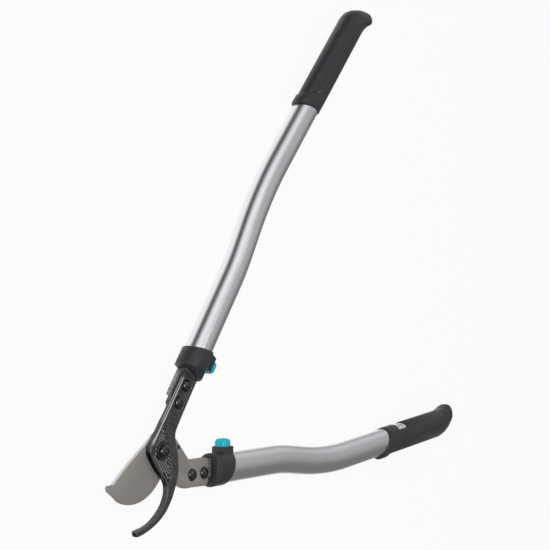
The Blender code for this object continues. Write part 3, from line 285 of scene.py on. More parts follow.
def coated_steel():
    made = Finish("coated_steel")
    mottle = made.noise(0.45, detail=4.0)
    grain = made.noise(2.6, rough=0.65)
    normal = made.node("ShaderNodeNewGeometry", output="Normal")
    level = made.axis("Z", normal)
    coat = made.mix((mottle * 0.5 + grain * 0.5).between(0.36, 0.64), *COAT)
    # Painted shade: the wall that faces the blade, and the tip's end face, are painted dark and
    # made more metallic.
    painted_wall_shade = made.dot(normal, TO_BLADE).between(0.75, 0.92) * (1.0 - level.between(0.1, 0.4))
    # Edges that face up: partly rubbed bare, partly painted highlight.
    rubbed_and_highlit = made.node("ShaderNodeAttribute", {"attribute_name": "wear_and_highlight"}, "Fac")
    rubbed_and_highlit = rubbed_and_highlit * level.between(0.05, 0.3) * grain.between(0.25, 0.6)
    # Worn edges and painted highlight lines take the light steel.
    wear_and_highlight = made.maths("MAXIMUM", rubbed_and_highlit, painted_highlight_lines(made, normal, level))
    colour = made.mix(wear_and_highlight, made.mix(painted_wall_shade, coat, WALL_SHADE), HIGHLIGHT_AND_BARE_STEEL)
    return made.paint(colour, 0.34 + mottle * 0.2 - wear_and_highlight * 0.1, grain, 0.08,
                      0.45 - wear_and_highlight * 0.2 + painted_wall_shade * 0.55)


COATED = coated_steel()
print(COATED.name)

# %% [markdown]
# The blade is ground and then blasted to a warm, even grey. Blasting leaves a very fine
# grain, and grinding leaves faint streaks along the blade. Its back edge was ground
# square to its faces, with cross marks from the wheel, and it is painted near white as a
# reflection of the bright room. That edge is found by its place, in millimetres, and
# because it faces sideways.

# %% Finish of the blade
SPINE_START, SPINE_END = -69.0, 2.0
SPINE_FADE = 6.0
SPINE_SIDE = (4.0, 5.0)
BLASTED = ((0.298, 0.279, 0.261), (0.368, 0.348, 0.328))
# Near-white painted reflection on the back edge, banded by the wheel's real marks.
WHEEL_MARKS_AND_REFLECTION = ((0.62, 0.62, 0.62), (0.86, 0.86, 0.86))


def ground_steel():
    made = Finish("blade_steel")
    streak = made.noise(1.4, rough=0.5, stretch=(0.12, 1.0, 1.0), turn=math.radians(8))
    grain = made.noise(5.0, detail=2.0)
    facing = made.axis("Z", made.node("ShaderNodeNewGeometry", output="Normal"))
    upright = 1.0 - made.maths("ABSOLUTE", facing).between(0.25, 0.7)
    along, aside = made.axis("X", made.place), made.axis("Y", made.place)
    spine = along.between(SPINE_START * MM, (SPINE_START + 1.5) * MM) * (
        1.0 - along.between((SPINE_END - SPINE_FADE) * MM, SPINE_END * MM))
    wall = upright * spine * aside.between(*(edge * MM for edge in SPINE_SIDE))
    marks = made.node("ShaderNodeTexWave", {"wave_type": "BANDS", "bands_direction": "X"},
                      Vector=made.place, Scale=0.35 / MM, Distortion=3.0, Detail=1.0)
    flat = made.mix(streak * 0.6 + grain * 0.4, *BLASTED)
    # The back edge's near-white colour is a painted reflection over the wheel's marks.
    colour = made.mix(wall, flat, made.mix(marks, *WHEEL_MARKS_AND_REFLECTION))
    return made.paint(colour, 0.68 - wall * 0.3 + grain * 0.08, grain * 0.5 + streak * 0.5,
                      0.015, 0.1 + wall * 0.5)


BLADE = ground_steel()
print(BLADE.name)

# %% [markdown]
# Screws, washers and the pivot bolt are blackened steel, and a thin coat stands for the
# oil on them. The other small steel parts are zinc plated, and the sleeve on the pivot
# bolt is turned bronze. Most small parts differ in their numbers alone: soft patches
# change colour and roughness together, and a finer grain gives the relief.

# %% Finishes of the small metal parts
def clouded(name, patches, shades, roughness, grains, relief_mm, detail=3.0, **constants):
    """A finish in soft patches; roughness is its least value and how far it swings."""
    made = Finish(name, **constants)
    cloud = made.noise(patches, detail)
    least, swing = roughness
    return made.paint(made.mix(cloud, *shades), least + cloud * swing, made.noise(grains),
                      relief_mm)


def turned_bronze():
    made = Finish("sleeve_bronze", Metallic=0.95)
    marks = made.noise(6.0, detail=2.0, rough=0.5, stretch=(0.2, 0.2, 3.0))
    colour = made.mix(marks, (0.38, 0.24, 0.09), (0.54, 0.37, 0.16))
    return made.paint(colour, 0.28 + marks * 0.2, marks, 0.02)


BLACKENED = clouded("blackened_steel", 0.9, ((0.030, 0.027, 0.024), (0.062, 0.055, 0.049)),
                    (0.12, 0.1), 4.0, 0.004, Metallic=0.85, Coat_Weight=0.8,
                    Coat_Roughness=0.05)
PLATED = clouded("plain_steel", 0.7, ((0.42, 0.42, 0.43), (0.60, 0.60, 0.59)),
                 (0.26, 0.2), 5.0, 0.01, Metallic=0.9)
BRONZE = turned_bronze()
print(BLACKENED.name, PLATED.name, BRONZE.name)

# %% [markdown]
# The brackets are cast. Their skin is a pebbled light grey, with brighter tops on the
# pebbles, where they were tumbled. A cell pattern gives pebbles and noise breaks them up.

# %% Finish of the brackets
def cast_alloy():
    made = Finish("cast_alloy", Metallic=0.55)
    pebble = made.node("ShaderNodeTexVoronoi", {"feature": "SMOOTH_F1"}, Vector=made.place,
                       Scale=1.3 / MM, Smoothness=0.6)
    height = (1.0 - pebble) * 0.6 + made.noise(1.1, detail=4.0) * 0.4
    colour = made.mix(height.between(0.3, 0.75), (0.08, 0.08, 0.088), (0.56, 0.56, 0.57))
    return made.paint(colour, 0.55 - height * 0.2, height, 0.2)


ALLOY = cast_alloy()
print(ALLOY.name)

# %% [markdown]
# The handles are drawn aluminium tubes, satin anodised. Drawing leaves very faint lines
# along the tube, so the tubes carry a UV map whose U runs along them: with it the
# streaks follow the bends. Their light and dark bands come from the studio's light.

# %% Finish of the tubes
TUBE_UV = "along_and_round"


def satin_aluminium():
    made = Finish("satin_aluminium", Metallic=1.0)
    along = made.node("ShaderNodeUVMap", {"uv_map": TUBE_UV})
    stretched = made.node("ShaderNodeMapping", Vector=along, Scale=(2.0, 90.0, 1.0))
    lines = made.node("ShaderNodeTexNoise", Vector=stretched, Scale=3.0, Detail=3.0)
    cloud = made.noise(0.08)
    colour = made.mix(lines * 0.5 + cloud * 0.5, (0.80, 0.81, 0.835), (0.89, 0.90, 0.925))
    return made.paint(colour, 0.20 + lines * 0.04 + cloud * 0.05,
                      lines * 0.3 + made.noise(6.0, detail=2.0) * 0.7, 0.001)


ALUMINIUM = satin_aluminium()
print(ALUMINIUM.name)

# %% [markdown]
# Collars and the grips' hard sleeves are black moulded plastic with the fine, even
# texture of an etched mould. The grips' pads are a softer, darker plastic with a silky
# sheen. The buttons are turquoise plastic, a little glossier, and the shoes that slide
# in the tubes are white nylon.

# %% Finishes of the plastics
def black_plastic():
    made = Finish("black_plastic", Specular_IOR_Level=0.36)
    etched = made.noise(4.2, detail=2.0, rough=0.6)
    cloud = made.noise(0.12)
    colour = made.mix(cloud, (0.031, 0.0315, 0.036), (0.047, 0.048, 0.055))
    return made.paint(colour, 0.27 + etched * 0.12 + cloud * 0.06, etched, 0.02)


def soft_pad():
    made = Finish("soft_grey", Sheen_Weight=0.12)
    stipple = made.noise(2.6, rough=0.7)
    shade = made.noise(0.09) * 0.6 + stipple * 0.4
    colour = made.mix(shade, (0.016, 0.0168, 0.021), (0.029, 0.0305, 0.037))
    return made.paint(colour, 0.36 + stipple * 0.14, stipple, 0.035)


PLASTIC = black_plastic()
PAD = soft_pad()
TURQUOISE = clouded("turquoise_plastic", 0.5, ((0.001, 0.55, 0.70), (0.002, 0.63, 0.78)),
                    (0.32, 0.08), 3.5, 0.015, detail=2.0)
NYLON = clouded("white_nylon", 0.3, ((0.70, 0.69, 0.65), (0.80, 0.79, 0.75)), (0.42, 0.12),
                3.0, 0.02, Subsurface_Weight=0.1, Subsurface_Scale=0.001)
print(PLASTIC.name, PAD.name, TURQUOISE.name, NYLON.name)

# %% [markdown]
# Each node of the CAD model gets the finish of its material slot. Nodes that need no
# other shape, such as the parts inside the tubes, are then done.

# %% Finishes on the CAD nodes
FINISHES = {"coated_steel": COATED, "blade_steel": BLADE, "blackened_steel": BLACKENED,
            "plain_steel": PLATED, "sleeve_bronze": BRONZE, "cast_alloy": ALLOY,
            "satin_aluminium": ALUMINIUM, "black_plastic": PLASTIC, "soft_grey": PAD,
            "turquoise_plastic": TURQUOISE, "white_nylon": NYLON}
SLOTS = {row["node"]: row["material_slot"] for row in frame["record"]["subparts"]}
for name, solid in frame["nodes"].items():
    solid.data.materials.clear()
    solid.data.materials.append(FINISHES[SLOTS[name]])
print(len(SLOTS), "nodes have their finish")

# %% [markdown]
# On a real piece no edge is perfectly sharp: a small radius catches the light as a thin
# bright line. The CAD solids are loose triangles with sharp edges, so a copy of each
# solid in view is merged and its flat faces are joined again, and a Bevel modifier
# breaks its edges. The copy then stands for the node. Widths are in millimetres and
# angles in degrees.

# %% Broken edges
MERGE_WITHIN = 0.002
FLAT_WITHIN = 0.6
BROKEN_FROM = 34.0
EDGE_STEPS = 2
EDGE_WIDTHS = {"blade": 0.15, "hook_jaw": 0.45, "pivot_washer": 0.25, "pivot_nut": 0.3,
               "stop_bumper": 0.4}
for side in SIDES:
    EDGE_WIDTHS.update({f"{side}_collar": 0.35, f"{side}_bracket": 0.5, f"{side}_button": 0.3,
                        f"{side}_grip_core": 0.35, f"{side}_grip_pad": 0.25,
                        f"{side}_arm_nut_1": 0.3, f"{side}_arm_nut_2": 0.3})
BODIES = {member: body for body, members in frame["record"]["behaviour"]["bodies"].items()
          for member in members}


def piece(name, mesh, finish, body):
    """An object at the origin, on its body and in its material slot."""
    if finish:
        mesh.materials.clear()
        mesh.materials.append(finish)
    made = linked(name, mesh)
    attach(made, body)
    return made


def joined_faces(node):
    """A copy of a node's mesh with its doubles merged and its flat faces joined."""
    mesh = frame["nodes"][node].data.copy()
    work = bmesh.new()
    work.from_mesh(mesh)
    bmesh.ops.remove_doubles(work, verts=work.verts, dist=MERGE_WITHIN * MM)
    bmesh.ops.dissolve_limit(work, angle_limit=math.radians(FLAT_WITHIN), verts=work.verts,
                             edges=work.edges)
    work.to_mesh(mesh)
    work.free()
    mesh.shade_smooth()
    return mesh


def broken_edges(node, width):
    """Replaces a node by its copy with rounded edges."""
    slot = SLOTS[node]
    made = piece("edged_" + node, joined_faces(node), FINISHES[slot], BODIES[node])
    bevel = made.modifiers.new("broken_edges", "BEVEL")
    bevel.width = width * MM
    bevel.segments = EDGE_STEPS
    bevel.angle_limit = math.radians(BROKEN_FROM)
    bevel.harden_normals = True
    bevel.use_clamp_overlap = True
    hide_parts(node)
    return made


edged = {node: broken_edges(node, width) for node, width in EDGE_WIDTHS.items()}
print(len(edged), "pieces have broken edges")

# %% [markdown]
# The jaw's broken edges are also where its coat has rubbed off, and they are painted light
# as highlights. A Bevel modifier can give its own faces another material index; applied,
# that index becomes the attribute that the coat's finish reads, and the index is set back.

# %% Rubbed edges of the jaw, painted as highlights
def applied(made):
    """The mesh of an object with its modifiers applied."""
    view = made.evaluated_get(bpy.context.evaluated_depsgraph_get())
    return bpy.data.meshes.new_from_object(view)


def mark_worn_and_highlit_edges(solid):
    """Bakes the bevel and stores which of its corners are worn and painted as highlights."""
    solid.modifiers["broken_edges"].material = 1
    solid.data.materials.append(solid.data.materials[0])
    mesh = applied(solid)
    solid.modifiers.clear()
    solid.data = mesh
    wear_and_highlight = mesh.attributes.new("wear_and_highlight", "FLOAT", "CORNER")
    count = 0
    for face in mesh.polygons:
        count += face.material_index
        for corner in face.loop_indices:
            wear_and_highlight.data[corner].value = face.material_index
        face.material_index = 0
    mesh.materials.pop(index=1)
    return count


print(mark_worn_and_highlit_edges(edged["hook_jaw"]), "bare faces along the jaw's edges")

# %% [markdown]
# Screws, tubes and the knurl repeat a shape or follow a path, so Geometry Nodes make
# them. Each tree starts with named sizes and ends in Realize Instances and Set
# Material. A small mesh carries it, whose points, path or face say where things go, and
# the result is taken as a plain mesh, without its modifier.

# %% Geometry Nodes trees with named sizes
def geometry_tree(name, *sizes):
    """An empty tree, the geometry that comes in, and its sizes as fields."""
    graph = bpy.data.node_groups.new(name, "GeometryNodeTree")
    graph.interface.new_socket("Geometry", in_out="INPUT", socket_type="NodeSocketGeometry")
    for size in sizes:
        graph.interface.new_socket(size, in_out="INPUT", socket_type="NodeSocketFloat")
    graph.interface.new_socket("Geometry", in_out="OUTPUT", socket_type="NodeSocketGeometry")
    tree = Tree(graph)
    start = tree.node("NodeGroupInput")
    return tree, start, {size: Field(tree, start.socket.node.outputs[size]) for size in sizes}


def end_tree(tree, geometry, finish):
    """Realize Instances and Set Material close every tree."""
    solid = tree.node("GeometryNodeRealizeInstances", Geometry=geometry)
    painted = tree.node("GeometryNodeSetMaterial", Geometry=solid, Material=finish)
    stop = tree.graph.nodes.new("NodeGroupOutput")
    tree.feed(stop.inputs[0], painted)


def moved(tree, geometry, **how):
    """Turns, scales and shifts a geometry inside a tree."""
    return tree.node("GeometryNodeTransform", Geometry=geometry, **how)


def grown(name, host, tree, sizes):
    """The plain mesh that the tree makes from the host mesh and these sizes."""
    seed = linked(name + "_seed", host)
    modifier = seed.modifiers.new("grow", "NODES")
    modifier.node_group = tree.graph
    for item in tree.graph.interface.items_tree:
        if item.in_out == "INPUT" and item.name in sizes:
            modifier[item.identifier] = sizes[item.name]
    mesh = applied(seed)
    bpy.data.objects.remove(seed)
    mesh.name = name
    return mesh


def plain_mesh(name, points, edges=(), faces=()):
    """A mesh from points in millimetres."""
    mesh = bpy.data.meshes.new(name)
    mesh.from_pydata([Vector(point) * MM for point in points], edges, faces)
    return mesh


print("trees end in Realize Instances and Set Material")

# %% [markdown]
# Four screws and the pivot bolt have the same domed head with a hexagon socket. The
# dome is a sphere, a little wider than the head and squashed to its height. A Mesh
# Boolean cuts the socket into it, makes its top flat and clears the room under it,
# and another joins the shank, which reaches into the head. The tree sets one screw on
# every point of its mesh.

# %% The screw tree
DOME_WIDTH, DOME_HEIGHT, DOME_SHIFT = 1.02, 1.18, -0.04
CUTTER_SIZE = (0.05, 0.05, 0.01)
CUTTER_SHIFT = 0.005
SHANK_IN_HEAD = 0.0005


def cut(tree, whole, cutter):
    return tree.node("GeometryNodeMeshBoolean", {"operation": "DIFFERENCE"},
                     **{"Mesh 1": whole, "Mesh 2": cutter})


def screw_tree():
    tree, points, size = geometry_tree(
        "domed_screw", "head_radius", "head_height", "socket_radius", "socket_depth",
        "shank_radius", "shank_length")
    height, wide = size["head_height"], size["head_radius"] * DOME_WIDTH
    ball = tree.node("GeometryNodeMeshUVSphere", None, "Mesh", Segments=48, Rings=32,
                     Radius=1.0)
    dome = moved(tree, ball, Scale=tree.xyz(wide, wide, height * DOME_HEIGHT),
                 Translation=tree.xyz(0.0, 0.0, height * DOME_SHIFT))
    socket = tree.node("GeometryNodeMeshCylinder", None, "Mesh", Vertices=6,
                       Radius=size["socket_radius"], Depth=size["socket_depth"] * 2.0)
    block = tree.node("GeometryNodeMeshCube", None, "Mesh", Size=CUTTER_SIZE)
    head = cut(tree, dome, moved(tree, socket, Translation=tree.xyz(0.0, 0.0, height)))
    for level in (height + CUTTER_SHIFT, -CUTTER_SHIFT):
        head = cut(tree, head, moved(tree, block, Translation=tree.xyz(0.0, 0.0, level)))
    shank = tree.node("GeometryNodeMeshCylinder", None, "Mesh", Vertices=32,
                      Radius=size["shank_radius"], Depth=size["shank_length"])
    middle = size["shank_length"] * -0.5 + SHANK_IN_HEAD
    shank = moved(tree, shank, Translation=tree.xyz(0.0, 0.0, middle))
    whole = tree.node("GeometryNodeMeshBoolean", {"operation": "UNION"},
                      **{"Mesh 2": [head, shank]})
    placed = tree.node("GeometryNodeInstanceOnPoints", Points=points, Instance=whole)
    end_tree(tree, placed, BLACKENED)
    return tree


SCREW_TREE = screw_tree()
print(len(SCREW_TREE.graph.nodes), "nodes make a screw")

# %% [markdown]
# The handles lie 25.8 degrees to either side of the X axis. A small helper turns a
# place on a handle (along it, out from its middle line, up from its middle plane) into
# the frame's coordinates. The screws' places come straight from it. All sizes are in
# millimetres.

# %% Screws at their places
HANDLE_OFFSET = {"hook": 11.0, "blade": 24.7}
HANDLE_PLANE = {"hook": 15.5, "blade": 11.6}
FIRST_SCREW = {"hook": (48.3, -4.6, 0.9), "blade": (52.6, 1.7, -0.1)}
SCREW_SPACING = 19.0
SHANK_LENGTH = {"hook": 10.8, "blade": 9.8}
ARM_SCREW = {"head_radius": 5.8, "head_height": 3.0, "socket_radius": 2.31,
             "socket_depth": 1.7, "shank_radius": 3.0}
PIVOT_BOLT = {"head_radius": 6.3, "head_height": 3.6, "socket_radius": 2.89,
              "socket_depth": 2.2, "shank_radius": 4.0, "shank_length": 18.1}
SCREW_CREASE = 32.0


def on_handle(side, along, out, up):
    """A place on a handle as a point of the frame, both in millimetres."""
    turn = SIDES[side] * HALF_OPENING
    y = SIDES[side] * (out + HANDLE_OFFSET[side])
    return (along * math.cos(turn) - y * math.sin(turn),
            along * math.sin(turn) + y * math.cos(turn), HANDLE_PLANE[side] + up)


def screws(name, points, nodes, sizes_mm, body):
    """One piece with a screw on every point, in place of the CAD's screws."""
    sizes = {size: value * MM for size, value in sizes_mm.items()}
    mesh = grown(name, plain_mesh(name + "_places", points), SCREW_TREE, sizes)
    mesh.shade_smooth()
    mesh.set_sharp_from_angle(angle=math.radians(SCREW_CREASE))
    made = piece(name, mesh, None, body)
    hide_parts(*nodes)
    print(name, len(mesh.polygons), "faces")


for side in SIDES:
    along, out, up = FIRST_SCREW[side]
    places = [on_handle(side, along + step, out, up) for step in (0.0, SCREW_SPACING)]
    screws(f"{side}_arm_screws", places, (f"{side}_arm_screw_1", f"{side}_arm_screw_2"),
           {**ARM_SCREW, "shank_length": SHANK_LENGTH[side]}, f"{side}_head")
screws("pivot_bolt_domed", [(0, 0, PIVOT_BOLT["shank_length"])], ("pivot_bolt",), PIVOT_BOLT,
       "hook_head")

# %% [markdown]
# Each tube is a main piece with a rule: one oval profile that follows a path with two
# bends. The path is laid out as a chain of points. The tree turns it into a curve,
# keeps the curve's normals level so that the oval doesn't twist, and sweeps the profile
# along it. It also stores how far along and round a point lies, for the streaks.

# %% The tube tree
def captured(tree, geometry, name, value):
    """Keeps a value on the points; gives the geometry and the value that was kept."""
    kept = tree.node("GeometryNodeCaptureAttribute", None, "Geometry", Geometry=geometry)
    node = kept.socket.node
    node.capture_items.new("FLOAT", name)
    tree.feed(node.inputs[name], value)
    return kept, Field(tree, node.outputs[name])


def sweep_tree():
    tree, points, size = geometry_tree("oval_tube", "half_width", "half_height")
    path = tree.node("GeometryNodeMeshToCurve", Mesh=points)
    level = tree.node("GeometryNodeSetCurveNormal", {"mode": "Z_UP"}, Curve=path)
    share = tree.node("GeometryNodeSplineParameter", None, "Factor")
    ring = tree.node("GeometryNodeCurvePrimitiveCircle", None, "Curve", Resolution=72,
                     Radius=1.0)
    oval = moved(tree, ring, Scale=tree.xyz(size["half_width"], size["half_height"], 1.0))
    rail, along = captured(tree, level, "along", share)
    profile, round_it = captured(tree, oval, "round", share)
    skin = tree.node("GeometryNodeCurveToMesh", **{"Curve": rail, "Profile Curve": profile})
    stored = tree.node("GeometryNodeStoreNamedAttribute",
                       {"data_type": "FLOAT2", "domain": "CORNER"}, Geometry=skin,
                       Name=TUBE_UV, Value=tree.xyz(along, round_it, 0.0))
    end_tree(tree, stored, ALUMINIUM)
    return tree


TUBE_TREE = sweep_tree()
print(len(TUBE_TREE.graph.nodes), "nodes sweep a tube")

# %% [markdown]
# The middle line is a chain of straight and bent stretches, each with its length in
# millimetres and its turn in degrees. The swept skin gets its wall from Solidify, and a
# Boolean cuts the slot that the lock's tooth moves in.

# %% The tubes
STRETCHES = ((185.8, 0.0), (33.22, 7.05), (27.6, 0.0), (85.24, -12.0), (220.0, 0.0))
TUBE_START, TUBE_END = 93.4, 540.0
PATH_STEP = 4.0
TUBE_HALF_WIDTH, TUBE_HALF_HEIGHT, TUBE_WALL = 14.25, 11.5, 1.5
LOCK_SLOT = ((98.0, 106.6), (-17.2, -8.0), (1.9, 4.5))
TUBE_CREASE = 40.0


def tube_path(side):
    """Points on the tube's middle line, in the frame's millimetres."""
    along = out = heading = travelled = 0.0
    points = []
    for length, turn in STRETCHES:
        steps = round(length / PATH_STEP)
        for step in range(steps):
            if TUBE_START <= travelled <= TUBE_END:
                points.append(on_handle(side, along, out, 0))
            run = length / steps
            heading += math.radians(turn) / steps / 2
            along += run * math.cos(heading)
            out += run * math.sin(heading)
            heading += math.radians(turn) / steps / 2
            travelled += run
    return points


def boxed(side, along, out, up):
    """A box on a handle between pairs of places, as a cutter."""
    work = bmesh.new()
    corners = [work.verts.new(Vector(on_handle(side, a, b, c)) * MM)
               for a in along for b in out for c in up]
    bmesh.ops.convex_hull(work, input=corners)
    mesh = bpy.data.meshes.new("cutter")
    work.to_mesh(mesh)
    work.free()
    return linked("cutter", mesh)


def drawn_tube(side):
    """Sweeps one tube, gives it its wall and slot, and puts it in the CAD tube's place."""
    name, path = f"{side}_drawn_tube", tube_path(side)
    chain = [(index, index + 1) for index in range(len(path) - 1)]
    mesh = grown(name, plain_mesh("path", path, chain), TUBE_TREE,
                 {"half_width": TUBE_HALF_WIDTH * MM, "half_height": TUBE_HALF_HEIGHT * MM})
    mesh.shade_smooth()
    raw = linked(name + "_raw", mesh)
    wall = raw.modifiers.new("wall", "SOLIDIFY")
    wall.thickness = TUBE_WALL * MM
    wall.offset = -1.0
    cutter = boxed(side, *LOCK_SLOT)
    raw.modifiers.new("lock_slot", "BOOLEAN").object = cutter
    made = piece(name, applied(raw), None, f"{side}_handle")
    made.data.set_sharp_from_angle(angle=math.radians(TUBE_CREASE))
    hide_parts(f"{side}_tube")
    for helper in (raw, cutter):
        bpy.data.objects.remove(helper)
    return made


for side in SIDES:
    tube = drawn_tube(side)
    print(tube.name, len(tube.data.polygons), "faces", [round(v, 4) for v in tube.dimensions])

# %% [markdown]
# Seen from the tube, the blade grip's pommel is a dome: its beak, which keeps the hand
# from slipping off, gets flatter towards its edge. The CAD's beak keeps its full height,
# so here each corner of it moves towards the grip's middle plane, the more the further
# it reaches inwards. The hook grip's beak is seen from its side and stays as it is.

# %% Domed beak of the blade grip's pommel
BEAK_START, BEAK_REACH = 3.0, 19.3
BEAK_FROM_TUBE = 22.0
BEAK_FLATNESS = 0.7


def domed_beak(side):
    """Narrows the beak of a grip's copy; gives how many corners it moved."""
    path = [Vector(point) * MM for point in tube_path(side)]
    end, along = path[-1], (path[-1] - path[-2]).normalized()
    inward = Vector((along.y, -along.x, 0)) * SIDES[side]
    moved_corners = 0
    for corner in (*edged[side + "_grip_core"].data.vertices,
                   *edged[side + "_grip_pad"].data.vertices):
        reach = (corner.co - end).dot(inward) / MM
        if reach > BEAK_START and (corner.co - end).dot(along) > BEAK_FROM_TUBE * MM:
            share = min(1.0, (reach - BEAK_START) / (BEAK_REACH - BEAK_START))
            keep = math.sqrt(1.0 - BEAK_FLATNESS * share * share)
            corner.co.z = end.z + (corner.co.z - end.z) * keep
            moved_corners += 1
    return moved_corners


print("blade grip's beak:", domed_beak("blade"), "corners moved")

# %% [markdown]
# The coil springs under the buttons shorten when the button is pressed. A copy of each
# spring rides on its handle and keeps its full length: the length left after the button's
# travel is worked out, but the copy is not squashed.

# %% Copies of the springs
BUTTON_TRAVEL = 2.0


def pressed_spring(side):
    """A spring's copy that follows its button; gives its free length in millimetres."""
    node = side + "_button_spring"
    mesh = frame["nodes"][node].data.copy()
    mesh.shade_smooth()
    coil = piece("coiled_" + node, mesh, PLATED, BODIES[node])
    turn = SIDES[side] * HALF_OPENING
    outward = Vector((-math.sin(turn), math.cos(turn), 0)) * SIDES[side]
    corners = [vertex.co for vertex in mesh.vertices]
    on_tube, on_button = max(corners, key=outward.dot), min(corners, key=outward.dot)
    length = (on_tube.dot(outward) - on_button.dot(outward)) / MM
    (length - BUTTON_TRAVEL) / length
    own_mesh(coil)
    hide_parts(node)
    return length


for side in SIDES:
    print(side, "spring is", round(pressed_spring(side), 2), "mm long")

# %% [markdown]
# Round the pivot the hook jaw has a sunk, lens-shaped field with a cut knurl that keeps
# sap from sticking. Small four-sided pyramids repeat on a turned grid. The tree throws
# a ray down from every grid point and keeps those that hit its host, a flat face of the
# field's outline, outside the washer. A tooth is a cone with four sides, drawn out to
# the grid's length and pitch.

# %% The knurl tree
GRID_TEETH = (50, 80)
RAY_START = (0.0, 0.0, 0.1)
TOOTH_TOP, TOOTH_BOTTOM = 0.16, 0.66


def knurl_steel(name, dark, light):
    made = Finish(name, Metallic=0.4)
    grain = made.noise(2.2)
    colour = made.mix(grain.between(0.35, 0.65), dark, light)
    return made.paint(colour, 0.36 + grain * 0.2, grain, 0.03)


KNURL_TIPS = knurl_steel("knurl_tips", (0.18, 0.18, 0.185), (0.38, 0.38, 0.39))
# The ground's near-black is painted shade between the teeth.
KNURL_PAINTED_SHADE = knurl_steel("knurl_ground", (0.006, 0.006, 0.007), (0.022, 0.022, 0.024))


def knurl_tree():
    tree, lens, size = geometry_tree("knurl", "length", "pitch", "turn", "fill",
                                     "tooth_height", "washer_radius")
    length, pitch, fill = size["length"], size["pitch"], size["fill"]
    turned = tree.xyz(0.0, 0.0, size["turn"])
    columns, rows = GRID_TEETH
    grid = tree.node("GeometryNodeMeshGrid", None, "Mesh",
                     **{"Size X": columns, "Size Y": rows, "Vertices X": columns + 1,
                        "Vertices Y": rows + 1})
    grid = moved(tree, grid, Scale=tree.xyz(length, pitch, 1.0), Rotation=turned)
    place = tree.node("GeometryNodeInputPosition")
    hit = tree.node("GeometryNodeRaycast", None, "Is Hit",
                    **{"Target Geometry": lens, "Ray Direction": (0.0, 0.0, -1.0),
                       "Source Position": tree.vector("ADD", place, RAY_START),
                       "Ray Length": 1.0})
    reach = tree.node("ShaderNodeVectorMath", {"operation": "LENGTH"}, "Value", Vector=place)
    keep = hit * tree.maths("GREATER_THAN", reach, size["washer_radius"])
    tooth = tree.node("GeometryNodeMeshCone", None, "Mesh",
                      **{"Vertices": 4, "Radius Top": TOOTH_TOP,
                         "Radius Bottom": TOOTH_BOTTOM, "Depth": 1.0})
    tooth = moved(tree, tooth, Rotation=(0.0, 0.0, math.pi / 4))
    tooth = moved(tree, tooth, Rotation=turned,
                  Scale=tree.xyz(length * fill, pitch * fill, size["tooth_height"]))
    placed = tree.node("GeometryNodeInstanceOnPoints", Points=grid, Selection=keep,
                       Instance=tooth)
    end_tree(tree, placed, KNURL_TIPS)
    return tree


KNURL_TREE = knurl_tree()
print(len(KNURL_TREE.graph.nodes), "nodes make the knurl")

# %% [markdown]
# Most of the field is fine ribs; along its inner edge the cut is coarse and leaves bold
# pits, which show the painted shade of the ground under them. The two zones meet along a
# middle line, and each is one run of the tree with its own tooth: length and pitch in
# millimetres, the share of its cell that a tooth fills, and the grid's turn in degrees.

# %% The knurled field
FIELD_FLOOR = 16.3
TOOTH_HEIGHT = 0.6
TOOTH_SUNK = 0.03
WASHER_RADIUS = 9.0
MIDDLE = ((9.4, 19.6), (6.6, 9.0), (4.6, -6.2), (0.6, -19.8), (-3.6, -29.0))
INNER_EDGE = ((12.4, 20.4), (11.3, 14.0), (10.6, 9.0), (8.4, -6.2), (4.4, -19.8), (-2.6, -29.8))
OUTER_EDGE = ((-4.6, -28.0), (-5.6, -23.4), (-9.6, -13.6), (-12.0, -5.0), (-12.7, 0.6),
              (-9.4, 5.0), (-1.6, 11.6), (6.0, 17.0))


def knurled_zone(name, outline, length, pitch, fill, turn):
    """Teeth of one size over one part of the field."""
    corners = [(x, y, 0) for x, y in outline]
    zone = plain_mesh("zone", corners, faces=[list(range(len(corners)))])
    mesh = grown(name, zone, KNURL_TREE,
                 {"length": length * MM, "pitch": pitch * MM, "turn": math.radians(turn),
                  "fill": fill, "tooth_height": TOOTH_HEIGHT * MM,
                  "washer_radius": WASHER_RADIUS * MM})
    mesh.transform(Matrix.Translation((0, 0, (FIELD_FLOOR - TOOTH_SUNK) * MM)))
    print(name, len(mesh.polygons), "faces")
    return piece(name, mesh, None, "hook_head")


knurled_zone("fine_knurl", OUTER_EDGE + MIDDLE, 2.8, 1.9, 0.86, 12)
knurled_zone("coarse_knurl", INNER_EDGE + MIDDLE[::-1], 2.6, 2.3, 0.7, 27)

# %% [markdown]
# The ground between the teeth is painted far darker than the coat, as the shade deep
# between them. A thin sheet with the field's outline lies on its floor, with a round
# opening that the bolt's washer covers.

# %% Painted shade on the ground between the teeth
SHEET_HEIGHT = 0.05
SHEET_SUNK = 0.02
OPENING_RADIUS, OPENING_CORNERS = 8.5, 48


